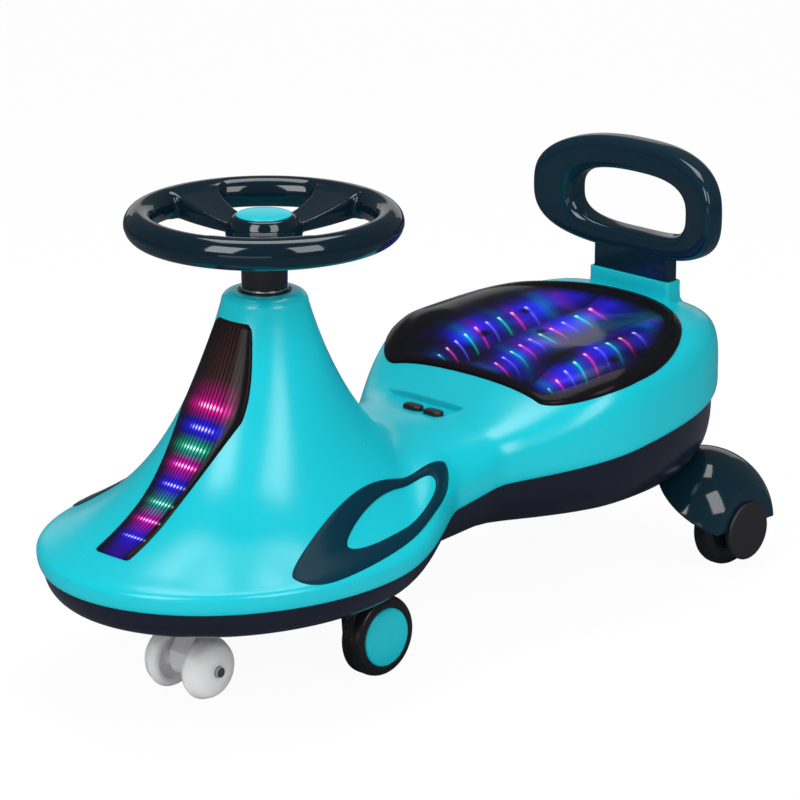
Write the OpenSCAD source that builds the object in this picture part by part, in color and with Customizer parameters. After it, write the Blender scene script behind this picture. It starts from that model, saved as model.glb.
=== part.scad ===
// Wiggle car: a ride-on body of two moulded shells on swing-arm steering, with
// stabiliser wheels, hooded rear wheels, a lit seat and a clip-in backrest.
// The car faces +X, its left side is +Y and the ground is z = 0.

/* [Body] */
// Length of the body, nose to tail
body_len = 800; // [640:10:960]
// Width across the front lobe
front_w = 335; // [290:5:380]
// Width across the waist
waist_w = 196; // [170:1:220]
// Width across the seat
seat_w = 312; // [280:2:340]
// Depth of the lower shell at the nose
tray_h = 29; // [22:1:38]
// Rise of the seam line from nose to tail
seam_rise = 48; // [30:1:64]
// Height of the steering column top above the front seam
column_h = 236; // [200:2:270]
// Height of the waist deck above the front seam
deck_h = 79; // [66:1:92]
// Height of the seat crown above the front seam
seat_h = 129; // [110:1:150]
// Depth of the dish in the seat
dish_h = 14; // [6:1:20]
// Wall of the moulded shells
wall = 3; // [2:0.1:4]

/* [Steering] */
// Outer diameter of the steering wheel
wheel_d = 250; // [210:2:280]
// Thickness of the steering wheel rim
rim_t = 27; // [20:1:32]
// Height of the rim centre above the column top
rim_lift = 62; // [54:1:76]
// Diameter of the steering shaft
shaft_d = 20; // [14:1:22]
// Distance from the steering axis forward to the front axle
arm_lead = 99; // [84:1:112]

/* [Wheels] */
// Diameter of the two front wheels
front_wheel_d = 58; // [48:1:66]
// Width of a front wheel
front_wheel_w = 22; // [16:1:26]
// Diameter of the stabiliser wheels
side_wheel_d = 73; // [62:1:80]
// Height of the stabiliser wheels above the ground
side_lift = 2; // [1:0.5:6]
// Width of a stabiliser tyre
side_wheel_w = 26; // [20:1:30]
// Diameter of the rear wheels
rear_wheel_d = 78; // [66:1:86]
// Width of a rear wheel
rear_wheel_w = 24; // [18:1:28]

/* [Backrest] */
// Width of the backrest ring
rest_w = 229; // [190:1:260]
// Height of the backrest ring
rest_h = 114; // [104:1:140]
// Thickness of the backrest ring
rest_t = 28.5; // [20:1:34]
// Width of the socket for the post
socket_w = 102; // [80:1:110]
// Depth of the socket for the post
socket_t = 21; // [18:0.5:26]

/* [Lights and buttons] */
// Width of the front light panel
light_w = 75; // [60:1:90]
// Thickness of the light covers
cover_t = 3; // [2:0.1:4]
// Length of a button across the car
button_l = 22; // [20:0.5:28]
// Travel of a button
button_travel = 2; // [1:0.25:3]

/* [Fits] */
// Diameter of a battery cell
cell_d = 14.4; // [10:0.1:16]
// Length of a battery cell
cell_l = 50.5; // [40:0.5:60]
// Running clearance round axles and shafts
run_gap = 0.05; // [0.02:0.01:0.1]
// Clearance between pieces that move past each other
part_gap = 0.4; // [0.3:0.1:1]
// Overlap of pieces pressed together
press = 0.15; // [0.05:0.05:0.3]
// Overrun of cutting shapes
over = 1; // [0.5:0.5:3]

/* [Hidden] */
$fn = 64;
hull_fn = 32;

// Places along the body, as shares of its length from the middle, nose positive
lobe_share = 0.256;
column_share = 0.2139;
seat_share = -0.216;
lobe_tail_share = 0.2436;
seat_nose_share = 0.1775;
seam_ramp_shares = [0.2019, 0.697];
seat_ramp_shares = [-0.0565, 0.1623];
tilt_ramp_shares = [-0.1827, 0.18];
deck_fade_shares = [0.0036, 0.18];
lip_fade_shares = [-0.05, 0.145];
dish_front_shares = [-0.1166, 0.084];
dish_rear_shares = [-0.4135, 0.072];
tail_share = -0.392;
turn_share = 0.0216;
cone_stretch_share = 1.5;

nose_x = body_len / 2;
tail_x = -nose_x;
lobe_x = lobe_share * body_len;
column_x = column_share * body_len;
seat_x = seat_share * body_len;
lobe_tail = lobe_tail_share * body_len;
seat_nose = seat_nose_share * body_len;
turn_x = turn_share * body_len;

// Heights, stacked up from the ground
under_gap_share = 0.22;
bottom_z = side_lift + side_wheel_d * (1 + under_gap_share);
seam_z0 = bottom_z + tray_h;
lip_h_share = 0.057;
lip_h = lip_h_share * column_h;
lip_in_share = 0.43;
lip_in = lip_in_share * lip_h;
brim_h_share = 0.6;
brim_h = brim_h_share * lip_h;
top_z = seam_z0 + column_h;
deck_z = seam_z0 + deck_h;
seat_z = seam_z0 + seat_h;
tilt_h_share = 0.05;
tilt_h = tilt_h_share * seat_h;

// The steering column: flat top, rounded shoulder, flared side
hole_r_share = 0.78;
hole_r = hole_r_share * shaft_d;
bush_r_share = 0.85;
bush_r = bush_r_share * shaft_d;
flat_r_share = 1.44;
flat_r = flat_r_share * shaft_d;
cone_r_share = 1.97;
cone_r = cone_r_share * shaft_d;
shoulder_h = cone_r - flat_r;
flare = 2.5;
waist_blend_share = 0.285;
waist_blend = waist_blend_share * waist_w;
crease_share = 0.1;
crease_waist_share = 0.22;
crease_ramp_shares = [0.2, 0.15];
dish_half_share = 0.371;

function clip(u, a = 0, b = 1) = min(max(u, a), b);
function ease(u) = let (c = clip(u)) c * c * (3 - 2 * c);
function ramp(x, shares) = ease((shares[0] * body_len - x) / (shares[1] * body_len));
function climb(x, shares) = ease((x - shares[0] * body_len) / (shares[1] * body_len));
function dome(u) = sqrt(max(0, 1 - u * u));
function blend(a, b, k) =
    let (h = clip(0.5 + (a - b) / (2 * k)))
    b + (a - b) * h + k * h * (1 - h);
function mix(a, b, f) = a + (b - a) * f;

// Half width of the body at its widest level
function lobe_w(x) =
    front_w / 2 * dome((x - lobe_x) / (x > lobe_x ? nose_x - lobe_x : lobe_tail));
function seat_half(x) =
    seat_w / 2 * dome((x - seat_x) / (x > seat_x ? seat_nose : seat_x - tail_x));
function half_w(x) =
    let (m = max(lobe_w(x), seat_half(x)))
    x < lobe_x && x > seat_x ? blend(m, waist_w / 2, waist_blend) : m;

// Seam between the two shells, and the widest level just above it
function seam_z(x) = seam_z0 + seam_rise * sin(90 * ramp(x, seam_ramp_shares));
function wide_z(x) = seam_z(x) + lip_h;

// Crown of the deck and the seat on the centre line
function tail_drop(x) =
    let (t = clip((tail_share * body_len - x) / (tail_share * body_len - tail_x)))
    pow(max(0, 1 - pow(t, 2.2)), 0.55);
function crown_z(x) =
    let (z = deck_z + (seat_z - deck_z) * ramp(x, seat_ramp_shares)
             + tilt_h * ramp(x, tilt_ramp_shares))
    let (b = mix(z, wide_z(x) + brim_h, climb(x, deck_fade_shares)))
    mix(wide_z(x), b, tail_drop(x));
function fullness(x) =
    2.6 + 2 * ease(-x / (deck_fade_shares[1] * body_len)) + 5 * climb(x, deck_fade_shares);
function dish_z(x, y) =
    dish_h * ramp(x, dish_front_shares) * climb(x, dish_rear_shares)
    * (1 - ease(abs(y) / (dish_half_share * seat_w)));
function deck_skin(x, y) =
    let (n = fullness(x), u = clip(abs(y) / max(half_w(x), over / 1000)))
    mix(wide_z(x), crown_z(x), pow(max(0, 1 - pow(u, n)), 1 / n)) - dish_z(x, y);

// Flared cone round the steering axis, over an oval base
function base_reach(c, s, a, b) =
    let (dx = column_x - lobe_x)
    let (qa = pow(c / a, 2) + pow(s / b, 2), qb = 2 * dx * c / (a * a), qc = pow(dx / a, 2) - 1)
    (-qb + sqrt(qb * qb - 4 * qa * qc)) / (2 * qa);
function base_r(c, s) =
    let (r = base_reach(c, s, nose_x - lobe_x, front_w / 2))
    column_x + r * c > lobe_x ? r
        : base_reach(c, s, lobe_tail * cone_stretch_share, front_w / 2);
function cone_skin(x, y) =
    let (dx = x - column_x, r = norm([dx, y]))
    let (b = base_r(dx / r, y / r), t = clip((r - cone_r) / (b - cone_r), 0, 1.3))
    let (g = (exp(-flare * t) - exp(-flare)) / (1 - exp(-flare)), z = wide_z(nose_x) + brim_h)
    r > cone_r ? mix(z, top_z - shoulder_h, g)
        : top_z - shoulder_h + shoulder_h * dome(clip((r - flat_r) / (cone_r - flat_r)));

// Outer skin of the upper shell
function edge_share(x, y) =
    x > lobe_x ? clip(norm([(x - lobe_x) / (nose_x - lobe_x), 2 * y / front_w]))
        : clip(abs(y) / max(half_w(x), over / 1000));
function crease(x) = deck_h * (crease_share + crease_waist_share * ramp(x, crease_ramp_shares));
function skin_z(x, y) =
    let (z = blend(cone_skin(x, y), deck_skin(x, y), crease(x)))
    let (lip = pow(max(0, 1 - pow(edge_share(x, y), 12)), 1 / 3))
    mix(z, mix(wide_z(x), z, lip), climb(x, lip_fade_shares));

// Stations round the outline: 0 at the nose, front_n at the waist, station_n at the tail
front_n = 22;
back_n = 22;
station_n = front_n + back_n;
loop_n = 2 * station_n;
function station_x(m) =
    m <= front_n ? mix(turn_x, nose_x, cos(90 * m / front_n))
        : mix(turn_x, tail_x, sin(90 * (m - front_n) / back_n));
function rim_pt(m) = [station_x(m), m == 0 || m == station_n ? 0 : half_w(station_x(m))];
function flip(p) = [p[0], -p[1]];
function rim_dir(m) =
    let (a = m == 0 ? flip(rim_pt(1)) : rim_pt(m - 1))
    let (b = m == station_n ? flip(rim_pt(station_n - 1)) : rim_pt(m + 1))
    let (t = (b - a) / norm(b - a))
    [t[1], -t[0], 0];
function loop_of(half) =
    [for (k = [0:loop_n - 1]) let (p = half[k <= station_n ? k : loop_n - k])
        [p[0], k <= station_n ? p[1] : -p[1], p[2]]];
rim_dirs = loop_of([for (m = [0:station_n]) rim_dir(m)]);

// Upper shell points: the lip rows, rays round the column, the waist cut, rows over the seat
cut_n = 20;
ray_n = 2 * front_n + cut_n;
first_shares = [0, 0.5, 0.72, 0.88, 0.97, 1];
first_n = len(first_shares) - 1;
row_n = 22;
lip_angles = [0, 50, 90];
lip_n = len(lip_angles);
function lip_pt(a, m) =
    let (p = rim_pt(m), d = rim_dir(m) * lip_in * (1 - cos(a)))
    [p[0] - d[0], p[1] - d[1], wide_z(p[0]) - lip_h * sin(a)];
function cut_y(i, x) = half_w(x) * cos(180 * i / cut_n);
function ray_end(a) =
    a <= front_n ? rim_pt(a)
        : a < front_n + cut_n ? [turn_x, cut_y(a - front_n, turn_x)]
        : flip(rim_pt(ray_n - a));
function ray_reach(j, reach) =
    j <= first_n ? mix(hole_r, cone_r, first_shares[j])
        : mix(cone_r, reach, sin(90 * (j - first_n) / (row_n - first_n)));
function skin_at(x, y) = [x, y, skin_z(x, y)];
function ray_pt(j, a) =
    let (e = ray_end(a) - [column_x, 0], c = e / norm(e) * ray_reach(j, norm(e)))
    skin_at(column_x + c[0], c[1]);
probe = over / 4;
function skin_dir(x, y) =
    let (gx = skin_z(x + probe, y) - skin_z(x - probe, y))
    let (gy = skin_z(x, y + probe) - skin_z(x, y - probe), d = [-gx, -gy, 2 * probe])
    d / norm(d);
lip_pts = [for (a = lip_angles) each loop_of([for (m = [0:station_n]) lip_pt(a, m)])];
ray_pts = [for (j = [0:row_n - 1], a = [0:ray_n - 1]) ray_pt(j, a)];
cut_pts = [for (b = [0:back_n - 1], i = [1:cut_n - 1])
    let (x = station_x(front_n + b)) skin_at(x, cut_y(i, x))];
ray_first = lip_n * loop_n;
cut_first = ray_first + row_n * ray_n;
skin_pts = concat(lip_pts, ray_pts, cut_pts);
skin_count = len(skin_pts);

// Index of a point on ray row j, and on seat row b, counting i from left to right
function ray_id(j, a) =
    j < row_n ? ray_first + j * ray_n + a
        : a <= front_n ? a
        : a < front_n + cut_n ? cut_id(0, a - front_n)
        : loop_n - ray_n + a;
function cut_id(b, i) =
    b == back_n ? station_n
        : i == 0 ? front_n + b
        : i == cut_n ? loop_n - front_n - b
        : cut_first + b * (cut_n - 1) + i - 1;
function halves(a, b, c, d) = [[a, b, c], [a, c, d]];
function turned(faces) = [for (f = faces) [for (i = [len(f) - 1:-1:0]) f[i]]];
function shifted(faces, n) = [for (f = faces) [for (i = f) i + n]];
function loop_band(first, n) =
    [for (k = [0:n - 1]) let (m = (k + 1) % n)
        each halves(first + k, first + m, first + n + m, first + n + k)];
skin_faces = concat(
    [for (r = [0:lip_n - 2]) each loop_band(r * loop_n, loop_n)],
    [for (j = [0:row_n - 1], a = [0:ray_n - 1]) let (c = (a + 1) % ray_n)
        each halves(ray_id(j, a), ray_id(j, c), ray_id(j + 1, c), ray_id(j + 1, a))],
    [for (b = [0:back_n - 2], i = [0:cut_n - 1])
        each halves(cut_id(b, i), cut_id(b, i + 1), cut_id(b + 1, i + 1), cut_id(b + 1, i))],
    [for (i = [0:cut_n - 1]) [cut_id(back_n - 1, i), cut_id(back_n - 1, i + 1), station_n]]);
function wall_between(a, b, n) =
    [for (k = [0:n - 1]) let (m = (k + 1) % n) each halves(a + k, b + k, b + m, a + m)];

module skin_shell(t) {
    lip_in_pts = [for (i = [0:len(lip_pts) - 1]) lip_pts[i] - t * rim_dirs[i % loop_n]];
    ray_in_pts = [for (i = [0:len(ray_pts) - 1]) let (p = ray_pts[i])
        p - t * (i < ray_n ? [0, 0, 1] : skin_dir(p[0], p[1]))];
    cut_in_pts = [for (p = cut_pts) p - t * skin_dir(p[0], p[1])];
    polyhedron(
        concat(skin_pts, lip_in_pts, ray_in_pts, cut_in_pts),
        concat(skin_faces, shifted(turned(skin_faces), skin_count),
            wall_between(ray_first, skin_count + ray_first, ray_n),
            wall_between(skin_count + (lip_n - 1) * loop_n, (lip_n - 1) * loop_n, loop_n)));
}

// Lower shell: a quarter round from the seam down to the flat bottom
tray_angles = [for (i = [0:6]) i * 15];
tray_n = len(tray_angles);
seam_gap = part_gap / 2;
tray_full_shares = [-0.1, 0.25];
tray_full_ends = [2, 2.9];
function tray_fullness(x) = mix(tray_full_ends[0], tray_full_ends[1], ramp(x, tray_full_shares));
function tray_pt(a, m) =
    let (p = rim_pt(m), z = seam_z(p[0]) - seam_gap, d = z - bottom_z, n = 2 / tray_fullness(p[0]))
    let (c = rim_dir(m) * (lip_in + d * (1 - pow(cos(a), n))))
    [p[0] - c[0], p[1] - c[1], z - d * pow(sin(a), n)];
tray_pts = [for (a = tray_angles) each loop_of([for (m = [0:station_n]) tray_pt(a, m)])];
tray_count = len(tray_pts);
// Strips across the car that close the loop of points beginning at first
function strips(first) = [for (k = [0:station_n - 1])
    let (a = [k, k + 1, loop_n - k - 1, loop_n - k])
    k == 0 ? [first + a[0], first + a[1], first + a[2]]
        : k == station_n - 1 ? [first + a[0], first + a[1], first + a[3]]
        : [for (i = a) first + i]];
tray_faces = concat([for (r = [0:tray_n - 2]) each loop_band(r * loop_n, loop_n)],
    strips(tray_count - loop_n));

module tray_shell(t) {
    inner = [for (i = [0:tray_count - 1])
        let (a = tray_angles[floor(i / loop_n)])
        tray_pts[i] - t * (rim_dirs[i % loop_n] * cos(a) - [0, 0, sin(a)])];
    polyhedron(concat(tray_pts, inner), concat(
        tray_faces, shifted(turned(tray_faces), tray_count),
        wall_between(0, tray_count, loop_n)));
}
module tray_solid() {
    polyhedron(tray_pts, concat(tray_faces, turned(strips(0))));
}

// A closed skin patch: rings of places from the middle out, top and bottom offsets per ring
function off_skin(p, t) = skin_at(p[0], p[1]) + t * skin_dir(p[0], p[1]);
module disc_patch(mid, rings, tops, low) {
    n = len(rings[0]);
    r = len(rings);
    top = concat([off_skin(mid, tops[0])],
        [for (i = [0:r - 1]) each [for (p = rings[i]) off_skin(p, tops[i])]]);
    bottom = concat([off_skin(mid, low)],
        [for (i = [0:r - 1]) each [for (p = rings[i]) off_skin(p, low)]]);
    h = len(top);
    faces = concat(
        [for (k = [0:n - 1]) [0, 1 + (k + 1) % n, 1 + k]],
        [for (i = [0:r - 2]) each loop_band(1 + i * n, n)]);
    polyhedron(concat(top, bottom), concat(faces, shifted(turned(faces), h),
        turned(wall_between(1 + (r - 1) * n, h + 1 + (r - 1) * n, n))));
}
// A closed skin ring: loops of places with an offset each, joined last to first
module ring_patch(loops, offs) {
    n = len(loops[0]);
    r = len(loops);
    pts = [for (i = [0:r - 1]) each [for (p = loops[i]) off_skin(p, offs[i])]];
    polyhedron(pts, concat(
        [for (i = [0:r - 2]) each loop_band(i * n, n)],
        turned(wall_between((r - 1) * n, 0, n))));
}

// Steering stack on the column axis, from the ground up
shaft_r = shaft_d / 2;
flange_r_share = 1.2;
flange_r = flange_r_share * shaft_d;
flange_t_share = 0.05;
flange_t = flange_t_share * shaft_d;
low_flange_t_share = 0.15;
low_flange_t = low_flange_t_share * shaft_d;
bush_l_share = 1.7;
bush_l = bush_l_share * shaft_d;
washer_t_share = 0.1;
washer_t = washer_t_share * shaft_d;
collar_r_share = 1.05;
collar_r = collar_r_share * shaft_d;
collar_lip_share = 1.17;
collar_lip_r = collar_lip_share * shaft_d;
washer_r_share = 1.1;
washer_r = washer_r_share * shaft_d;
hub_r_share = 0.28;
hub_r = hub_r_share * wheel_d / 2;
cap_r_share = 0.2;
cap_r = cap_r_share * wheel_d / 2;
rim_r = rim_t / 2;
rim_path_r = wheel_d / 2 - rim_r;
rim_z = top_z + rim_lift;
split_share = 0.2;
split_z = rim_z - split_share * rim_r;
spoke_t_share = 0.42;
spoke_t = spoke_t_share * rim_t;
spoke_a = 44;
spoke_turns = [0, 127.3, 232.7];
spoke_half_shares = [0.4, 1.2];
spoke_power = 2.2;
spoke_n = 6;
function spoke_half(f) = hub_r * mix(spoke_half_shares[0], spoke_half_shares[1], pow(f, spoke_power));
function spoke_side(s) =
    [for (i = [0:spoke_n]) [mix(hub_r, rim_path_r, i / spoke_n), s * spoke_half(i / spoke_n)]];
hub_top_z = rim_z + split_share * rim_r;
hub_low_z = rim_z - rim_r;
washer_z = top_z + flange_t + part_gap;
collar_z = washer_z + washer_t;
collar_h = hub_low_z - collar_z;
arm_top_z = bottom_z - low_flange_t - part_gap;
arm_hub_h_share = 1.45;
arm_hub_h = arm_hub_h_share * shaft_d;
arm_hub_r_share = 0.95;
arm_hub_r = arm_hub_r_share * shaft_d;
arm_low_z = arm_top_z - arm_hub_h;
nut_h_share = 0.35;
nut_h = nut_h_share * shaft_d;
nut_r_share = 0.72;
nut_r = nut_r_share * shaft_d;
shaft_low_z = arm_low_z - nut_h;
shaft_top_z = hub_top_z - part_gap;

// Front axle and wheels on the swing arm
axle_x = column_x + arm_lead;
axle_z = front_wheel_d / 2;
pin_d_share = 0.14;
pin_r = pin_d_share * front_wheel_d / 2;
arm_w_share = 0.4;
arm_w = arm_w_share * front_wheel_d;
sleeve_l_share = 0.075;
sleeve_l = sleeve_l_share * front_wheel_d;
sleeve_r_share = 0.28;
sleeve_r = sleeve_r_share * front_wheel_d / 2;
wheel_in_y = arm_w / 2 + sleeve_l + part_gap;
wheel_out_y = wheel_in_y + front_wheel_w;
pin_head_r_share = 0.16;
pin_head_r = pin_head_r_share * front_wheel_d / 2;
pin_head_h_share = 0.1;
pin_head_h = pin_head_h_share * front_wheel_d / 2;
boss_r_share = 0.44;
boss_r = boss_r_share * front_wheel_d / 2;

// Stabiliser wheels under the front lobe
side_x_share = 0.152;
side_x = side_x_share * body_len;
side_y_share = 0.4985;
side_y = side_y_share * front_w / 2;
side_r = side_wheel_d / 2;
side_z = side_lift + side_r;
side_pin_r_share = 0.11;
side_pin_r = side_pin_r_share * side_r;
leg_t_share = 0.3;
leg_t = leg_t_share * side_r;
leg_boss_r_share = 0.36;
leg_boss_r = leg_boss_r_share * side_r;
leg_w_share = 0.95;
leg_w = leg_w_share * side_r;
foot_t_share = 0.11;
foot_t = foot_t_share * side_r;
foot_l_share = 1.5;
foot_l = foot_l_share * side_r;
tyre_in_y = side_y - side_wheel_w / 2;
leg_y = tyre_in_y - part_gap - leg_t;
side_cap_r_share = 0.75;
side_cap_r = side_cap_r_share * side_r;
side_cap_h_share = 0.26;
side_cap_h = side_cap_h_share * side_r;
side_cup_r_share = 0.3;
side_cup_r = side_cup_r_share * side_r;
side_cup_h_share = 0.35;
side_cup_h = side_cup_h_share * side_wheel_w;
side_head_r_share = 0.22;
side_head_r = side_head_r_share * side_r;

// Rear wheels under their hoods
rear_x_share = -0.417;
rear_x = rear_x_share * body_len;
rear_y_share = 0.8;
rear_y = rear_y_share * seat_w / 2;
rear_r = rear_wheel_d / 2;
rear_z = rear_r;
rear_pin_r_share = 0.11;
rear_pin_r = rear_pin_r_share * rear_r;
hood_r_share = 1.825;
hood_r = hood_r_share * rear_r;
hood_y_share = 0.6;
hood_y = hood_y_share * seat_w / 2;
hood_out_share = 0.963;
hood_out_y = hood_out_share * seat_w / 2;
hood_wall_share = 0.1;
hood_wall = hood_wall_share * rear_r;
hood_tilt = 32;
hood_lift_share = 0.48;
hood_lift = hood_lift_share * hood_r;
lug_t_share = 0.16;
lug_t = lug_t_share * rear_r;
lug_r_share = 0.6;
lug_r = lug_r_share * rear_r;
fork_w_share = 0.34;
fork_r = fork_w_share * rear_r;
fork_y = rear_y - rear_wheel_w / 2 - lug_t * 2;
disc_r_share = 0.74;
disc_r = disc_r_share * rear_r;
disc_t_share = 0.135;
disc_t = disc_t_share * rear_r;
disc_y = hood_out_y;

// Seat cover outline, front edge bowed, rear end a full oval
seat_mid_share = -0.27;
seat_front_share = -0.1325;
seat_bow_share = 0.0138;
seat_side_share = -0.23;
seat_corner_share = 0.66;
seat_rear_power = 2.05;
seat_rear_share = -0.4035;
cover_half_share = 0.4686;
cover_half = cover_half_share * seat_w;
cover_mid = [seat_mid_share * body_len, 0];
function cover_front(f) =
    [(seat_front_share + seat_bow_share * f * f) * body_len, cover_half * seat_corner_share * f];
function curve(a, b, c, f) = mix(mix(a, b, f), mix(b, c, f), f);
cover_corner = [cover_front(1),
    [(seat_front_share + seat_bow_share) * body_len, cover_half],
    [seat_side_share * body_len, cover_half]];
function cover_rear(f) =
    [mix(seat_side_share, seat_rear_share, sin(90 * f)) * body_len,
     cover_half * pow(max(0, 1 - pow(sin(90 * f), seat_rear_power)), 1 / seat_rear_power)];
cover_side = concat(
    [for (f = [0, 0.25, 0.5, 0.75, 0.9]) cover_front(f)],
    [for (f = [0:0.2:0.8]) curve(cover_corner[0], cover_corner[1], cover_corner[2], f)],
    [for (f = [0:0.1:0.9]) cover_rear(f)]);
cover_loop = concat(cover_side, [cover_rear(1)],
    [for (i = [len(cover_side) - 1:-1:1]) flip(cover_side[i])]);
function about(mid, loop, s) = [for (p = loop) mid + (p - mid) * s];
window_share = 0.86;
board_l_share = 0.19;
board_l = board_l_share * body_len;
board_w_share = 0.385;
board_w = board_w_share * seat_w;
seat_board_z = skin_z(cover_mid[0], 0) - dish_h;

// Front light cover, laid on the column by reach from the axis and half width
light_reach_shares = [0.0555, 0.238];
light_peak_share = 0.225;
light_ends_shares = [0.58, 0.57];
light_n = 14;
light_m = 8;
function light_half(u) = light_w / 2 * (u < light_peak_share
    ? mix(light_ends_shares[0], 1, sin(90 * u / light_peak_share))
    : mix(light_ends_shares[1], 1, pow(1 - clip((u - light_peak_share) / (2 * light_peak_share)), 2)));
function light_pt(u, v, s) =
    let (r = mix(light_reach_shares[0], light_reach_shares[1], u) * body_len)
    let (y = light_half(u) * v * s, x = sqrt(r * r - y * y))
    [column_x + x, y];
function strip_loop(u0, u1, s) = concat(
    [for (j = [0:light_m - 1]) light_pt(u0, 1 - 2 * j / light_m, s)],
    [for (i = [0:light_n - 1]) light_pt(mix(u0, u1, i / light_n), -1, s)],
    [for (j = [0:light_m - 1]) light_pt(u1, -1 + 2 * j / light_m, s)],
    [for (i = [0:light_n - 1]) light_pt(mix(u1, u0, i / light_n), 1, s)]);
module light_strip(u0, u1, s, low, high) {
    grid = [for (i = [0:light_n], j = [0:light_m])
        light_pt(mix(u0, u1, i / light_n), 1 - 2 * j / light_m, s)];
    sheet([for (p = grid) off_skin(p, high)], [for (p = grid) off_skin(p, low)], light_n, light_m);
}
// A closed sheet between two grids of points
module sheet(high_pts, low_pts, rows, cols) {
    w = cols + 1;
    h = len(high_pts);
    top = [for (i = [0:rows - 1], j = [0:cols - 1])
        each halves(i * w + j, (i + 1) * w + j, (i + 1) * w + j + 1, i * w + j + 1)];
    edge = concat([for (j = [0:cols - 1]) j], [for (i = [0:rows - 1]) i * w + cols],
        [for (j = [cols:-1:1]) rows * w + j], [for (i = [rows:-1:1]) i * w]);
    n = len(edge);
    polyhedron(concat(high_pts, low_pts),
        concat(top, shifted(turned(top), h),
            [for (k = [0:n - 1]) let (a = edge[k], b = edge[(k + 1) % n])
                each halves(a, b, h + b, h + a)]));
}

// Leaf trims on the sides of the front lobe, between a front tip and a rear tip
trim_front_shares = [0.346, 0.4232];
trim_rear_shares = [0.0369, 0.2616];
trim_bulge_shares = [-0.1446, 0.0545];
trim_end_powers = [0.445, 0.616];
trim_hole_front_shares = [0.2579, 0.412];
trim_hole_rear_shares = [0.0726, 0.2971];
trim_hole_bulge_shares = [-0.1054, 0.0776];
trim_hole_end_powers = [0.545, 0.466];
trim_n = 16;
function trim_place(shares) = [shares[0] * body_len, shares[1] * front_w];
function leaf_pt(tip, end, bulges, k, f) =
    let (s = (1 - cos(180 * (f < 0.5 ? 2 * f : 2 - 2 * f))) / 2, m = k[0] / (k[0] + k[1]))
    let (b = pow(s / m, k[0]) * pow((1 - s) / (1 - m), k[1]), o = bulges[f < 0.5 ? 0 : 1])
    let (d = end - tip)
    tip + d * s + [-d[1], d[0]] * o * b;
function leaf(front, rear, bulges, k) =
    [for (i = [0:2 * trim_n - 1])
        leaf_pt(trim_place(front), trim_place(rear), bulges, k, i / (2 * trim_n))];
leaf_out = leaf(trim_front_shares, trim_rear_shares, trim_bulge_shares, trim_end_powers);
leaf_in = leaf(trim_hole_front_shares, trim_hole_rear_shares, trim_hole_bulge_shares, trim_hole_end_powers);
function between(a, b, f) = [for (i = [0:len(a) - 1]) mix(a[i], b[i], f)];
trim_t_share = 0.8;
trim_t = trim_t_share * cover_t;
// The part of the upper shell's skin that lies under a trim
trim_rays = [6, front_n + 4];
trim_row = 9;
module under_trim() {
    grid = [for (a = [trim_rays[0]:trim_rays[1]], j = [trim_row:row_n]) skin_pts[ray_id(j, a)]];
    sheet(grid, [for (p = grid) p - [0, 0, lip_h]], trim_rays[1] - trim_rays[0], row_n - trim_row);
}

// Button tray let into the deck in front of the seat
tray_x_shares = [-0.073, -0.015];
tray_y_share = -0.27;
tray_x0 = tray_x_shares[0] * body_len;
tray_x1 = tray_x_shares[1] * body_len;
tray_y0 = tray_y_share * waist_w;
tray_drop_share = 0.06;
tray_z = deck_z - tray_drop_share * deck_h;
tray_front_share = 0.9;
tray_front_z = mix(tray_z, deck_z, tray_front_share);
tray_cells = [6, 10];
tray_inset = wall / 2;
button_w_share = 0.58;
button_w = button_w_share * button_l;
button_gap_share = 1.18;
button_mid_share = 0.025;
button_mid_y = button_mid_share * waist_w;
function button_y(s) = button_mid_y + s * button_gap_share * button_l / 2;
tray_y1 = button_y(1) + button_l / 2 + wall + part_gap;
button_x_share = 0.62;
button_x = mix(tray_x0, tray_x1, button_x_share);
button_up_share = 0.36;
button_up = button_up_share * button_l;
button_edge_share = 0.12;
button_edge = button_edge_share * button_l;
board_t = wall / 2;
keeper_t = wall / 2;
board_z = tray_z - wall - keeper_t - part_gap - button_travel - part_gap;

// Backrest: oval ring on a flat post
socket_x_share = -0.4085;
socket_x = socket_x_share * body_len - socket_t / 2;
socket_top_share = 0.12;
socket_z = seat_z + socket_top_share * seat_h + tilt_h;
socket_deep_share = 1.5;
socket_deep = socket_deep_share * socket_t;
socket_wall = wall;
post_w = socket_w - 2 * socket_wall;
post_t = socket_t - 2 * socket_wall;
rest_gap_share = 0.172;
rest_z = socket_z + rest_gap_share * rest_h + rest_h / 2;
hole_w_share = 0.624;
hole_h_share = 0.515;
hole_drop_share = 0.041;
rest_bend_share = 0.0974;
rest_back_share = -0.23;
rest_powers = [2.7, 2.92, 3.5];
post_h = rest_z - rest_h / 2 * (1 + hole_h_share) / 2 - socket_z + socket_deep - socket_wall;
rest_n = 40;
rest_m = 12;

// Battery box in the seat, over a hatch in the bottom
box_x_share = -0.24;
cell_r = cell_d / 2;
cell_pitch_share = 1.05;
cell_pitch = cell_pitch_share * cell_d;
box_l = 3 * cell_pitch + 6 * wall;
box_w = cell_l + 3 * wall;
box_h = cell_d + 3 * wall;

// Screws that close the body, places as shares of length and of front width
screw_shares = [[0.36, 0.24], [0.11, 0.14], [-0.115, 0.14]];
tail_screw_share = -0.42;
screw_r = wall * 0.7;
post_r = wall * 2.2;
head_r = wall * 1.6;

function post_top(p) =
    min([for (a = [0:45:315]) skin_z(p[0] + post_r * cos(a), p[1] + post_r * sin(a))]);

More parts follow.
